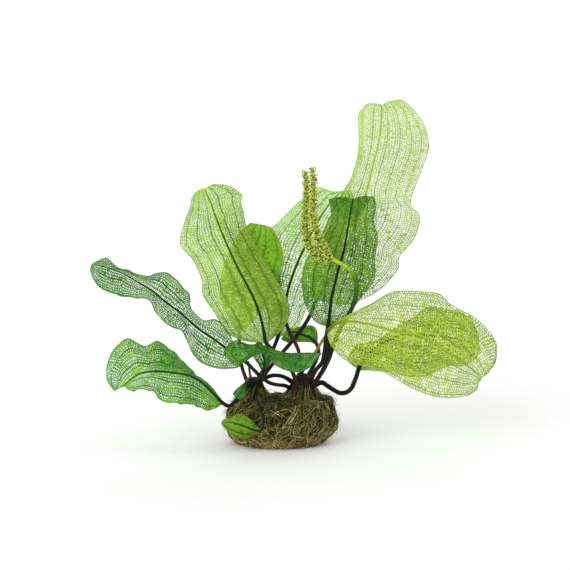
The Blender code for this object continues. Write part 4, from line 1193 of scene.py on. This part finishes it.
def make_spike(name, route, seed):
    """A flower spike: florets in a spiral, each with two tepals and dark-tipped stamens."""
    rng = np.random.default_rng(seed)
    parts = MeshParts()
    path, length = even_path(route, 0.5)
    share = np.linspace(0, 1, len(path))
    ahead = unit(np.gradient(path, axis=0))
    side = unit(np.cross(ahead, [0.1, 0.97, 0.2]))
    other = np.cross(ahead, side)
    widest, tip = SPIKE_RADII
    reach = np.minimum(1.5 + 14 * share, np.interp(share, (0.0, 0.2, 1.0), (widest, widest, tip)))
    points, faces = tube_parts(path[None], (reach * 0.5)[None], 10)
    parts.add(points, faces, 0, tone=0.12)
    count = int(length / FLORET_SPACING)
    at = np.linspace(2, len(path) - 2, count).astype(int)
    spin = np.arange(count) * GOLDEN_ANGLE + rng.normal(0, 0.2, count)
    out = side[at] * np.cos(spin)[:, None] + other[at] * np.sin(spin)[:, None]
    root = path[at] + out * (reach[at] * 0.5)[:, None]
    size = rng.uniform(0.85, 1.2, count) * np.interp(share[at], (0, 0.2, 1), (0.95, 1.2, 0.8))
    tilt = unit(out + ahead[at] * rng.uniform(0.1, 0.6, count)[:, None])
    tones = rng.uniform(0.3, 0.9, count)
    add_blobs(parts, root + tilt * (0.75 * size)[:, None], tilt, (0.8 * size, 1.05 * size), 0, tones)
    across = unit(np.cross(tilt, ahead[at]))
    for sign in (-1, 1):
        petal = unit(tilt * 0.8 + across * sign * 0.8 + ahead[at] * 0.2)
        middle = root + petal * (1.3 * size)[:, None]
        add_blobs(parts, middle, petal, (0.55 * size, 0.95 * size), 0, rng.uniform(0.6, 1.0, count), 5, 3)
    beside = unit(np.roll(out, 1, axis=0) + out + ahead[at] * 0.5)
    middle = path[at] + beside * (reach[at] * rng.uniform(0.86, 1.04, count))[:, None]
    middle, beside, dot = middle[::2], beside[::2], size[::2]
    add_blobs(parts, middle, beside, (0.86 * dot, 0.66 * dot), 1, rng.uniform(0, 0.4, len(dot)), 6, 3)
    for stamen in range(STAMENS):
        lean = rng.normal(0, 0.55, (count, 3))
        way = unit(tilt + lean)
        tip = root + way * (rng.uniform(1.8, 2.9, count) * size)[:, None]
        lines = root[:, None] + (tip - root)[:, None] * np.linspace(0.2, 1, 3)[None, :, None]
        points, faces = tube_parts(lines, 0.09, 3)
        parts.add(points, faces, 0, tone=0.9)
        slot = 1 if stamen == STAMENS - 1 else 0
        pod = way + rng.normal(0, 0.5, (count, 3))
        add_blobs(parts, tip, pod, (0.34, 0.5), slot, rng.uniform(0, 1, count), 5, 3)
    floret = tone_material(name + "_floret", (122, 146, 26), (236, 246, 120), 0.6, 900.0, glow=0.2)
    anther = tone_material(name + "_anther", (30, 20, 6), (92, 66, 20), 0.6, 900.0)
    piece = parts.build(name + "_florets", [floret, anther])
    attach(piece, "root")
    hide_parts(name)


def make_plain_stem(name, route, radii, stops):
    """A stem with no blade."""
    parts = MeshParts()
    add_stem(parts, route, radii, 0)
    piece = parts.build(name + "_stem", [stem_material(name + "_skin", stops)])
    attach(piece, "root")
    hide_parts(name)


# Setting

TILT = math.radians(8.0)
CAMERA_DISTANCE = 2.2
CAMERA_SIDE, CAMERA_HEIGHT = 0.004, 0.1262
PICTURE_WIDTH = 0.456
SENSOR_WIDTH = 36
WORLD_LIGHT = 0.83
KEY_LIGHT = 2.75
BACK_LIGHT = 1.1


def make_camera():
    """A long lens a little above the horizon, as in the photo."""
    forward = Vector((0, math.cos(TILT), -math.sin(TILT)))
    up = Vector((0, math.sin(TILT), math.cos(TILT)))
    data = bpy.data.cameras.new("camera")
    data.sensor_width = SENSOR_WIDTH
    data.lens = SENSOR_WIDTH * CAMERA_DISTANCE / PICTURE_WIDTH
    data.clip_start, data.clip_end = 0.05, 50
    camera = bpy.data.objects.new("camera", data)
    camera.location = Vector((CAMERA_SIDE, 0, 0)) + up * CAMERA_HEIGHT - forward * CAMERA_DISTANCE
    camera.rotation_mode = "QUATERNION"
    camera.rotation_quaternion = forward.to_track_quat("-Z", "Y")
    bpy.context.scene.collection.objects.link(camera)
    bpy.context.scene.camera = camera


def add_sun(name, direction, strength, spread):
    """A broad even light that shines along a direction."""
    data = bpy.data.lights.new(name, "SUN")
    data.energy = strength
    data.angle = math.radians(spread)
    lamp = bpy.data.objects.new(name, data)
    lamp.rotation_mode = "QUATERNION"
    lamp.rotation_quaternion = Vector(direction).to_track_quat("-Z", "Y")
    bpy.context.scene.collection.objects.link(lamp)


def make_setting():
    """A plain white floor, plain soft light and a white surround."""
    bpy.ops.mesh.primitive_plane_add(size=40, location=(0, 0, 0))
    floor = bpy.context.object
    floor.name = "floor"
    n = Nodes("floor")
    shade = n.ramp(n.noise(3.0), 0.3, 0.7, 0.95, 0.97)
    colour = n.add("ShaderNodeCombineColor", Red=shade, Green=shade, Blue=shade).outputs[0]
    floor.data.materials.append(n.finish(colour, 0.9, n.noise(200.0), 0.0001, 0.0))
    world = bpy.data.worlds.new("surround")
    world.use_nodes = True
    background = world.node_tree.nodes["Background"]
    background.inputs["Color"].default_value = (1.0, 1.0, 1.0, 1.0)
    background.inputs["Strength"].default_value = WORLD_LIGHT
    bpy.context.scene.world = world
    add_sun("key", (0.5, 0.85, -0.18), KEY_LIGHT, 60)
    add_sun("back", (-0.3, -0.85, -0.22), BACK_LIGHT, 60)
    bpy.context.scene.view_settings.view_transform = "Standard"
    bpy.context.scene.view_settings.look = "None"


make_camera()
for seed, leaf_name in enumerate(LEAVES, start=100):
    make_leaf(leaf_name, seed)
make_roots()
make_crown("left_crown", seed=51)
make_crown("right_crown", seed=52)
make_plain_stem("flower_stalk", FLOWER_STALK_ROUTE, FLOWER_STALK_RADII, FLOWER_STALK_COLOURS)
make_spike("left_flower_spike", LEFT_SPIKE_ROUTE, seed=61)
make_spike("right_flower_spike", RIGHT_SPIKE_ROUTE, seed=62)
make_plain_stem("dried_leaf_stalk", DRIED_STALK_ROUTE, DRIED_STALK_RADII, DRIED_STALK_COLOURS)
make_plain_stem("young_leaf_spear", YOUNG_SPEAR_ROUTE, YOUNG_SPEAR_RADII, YOUNG_SPEAR_COLOURS)
make_setting()
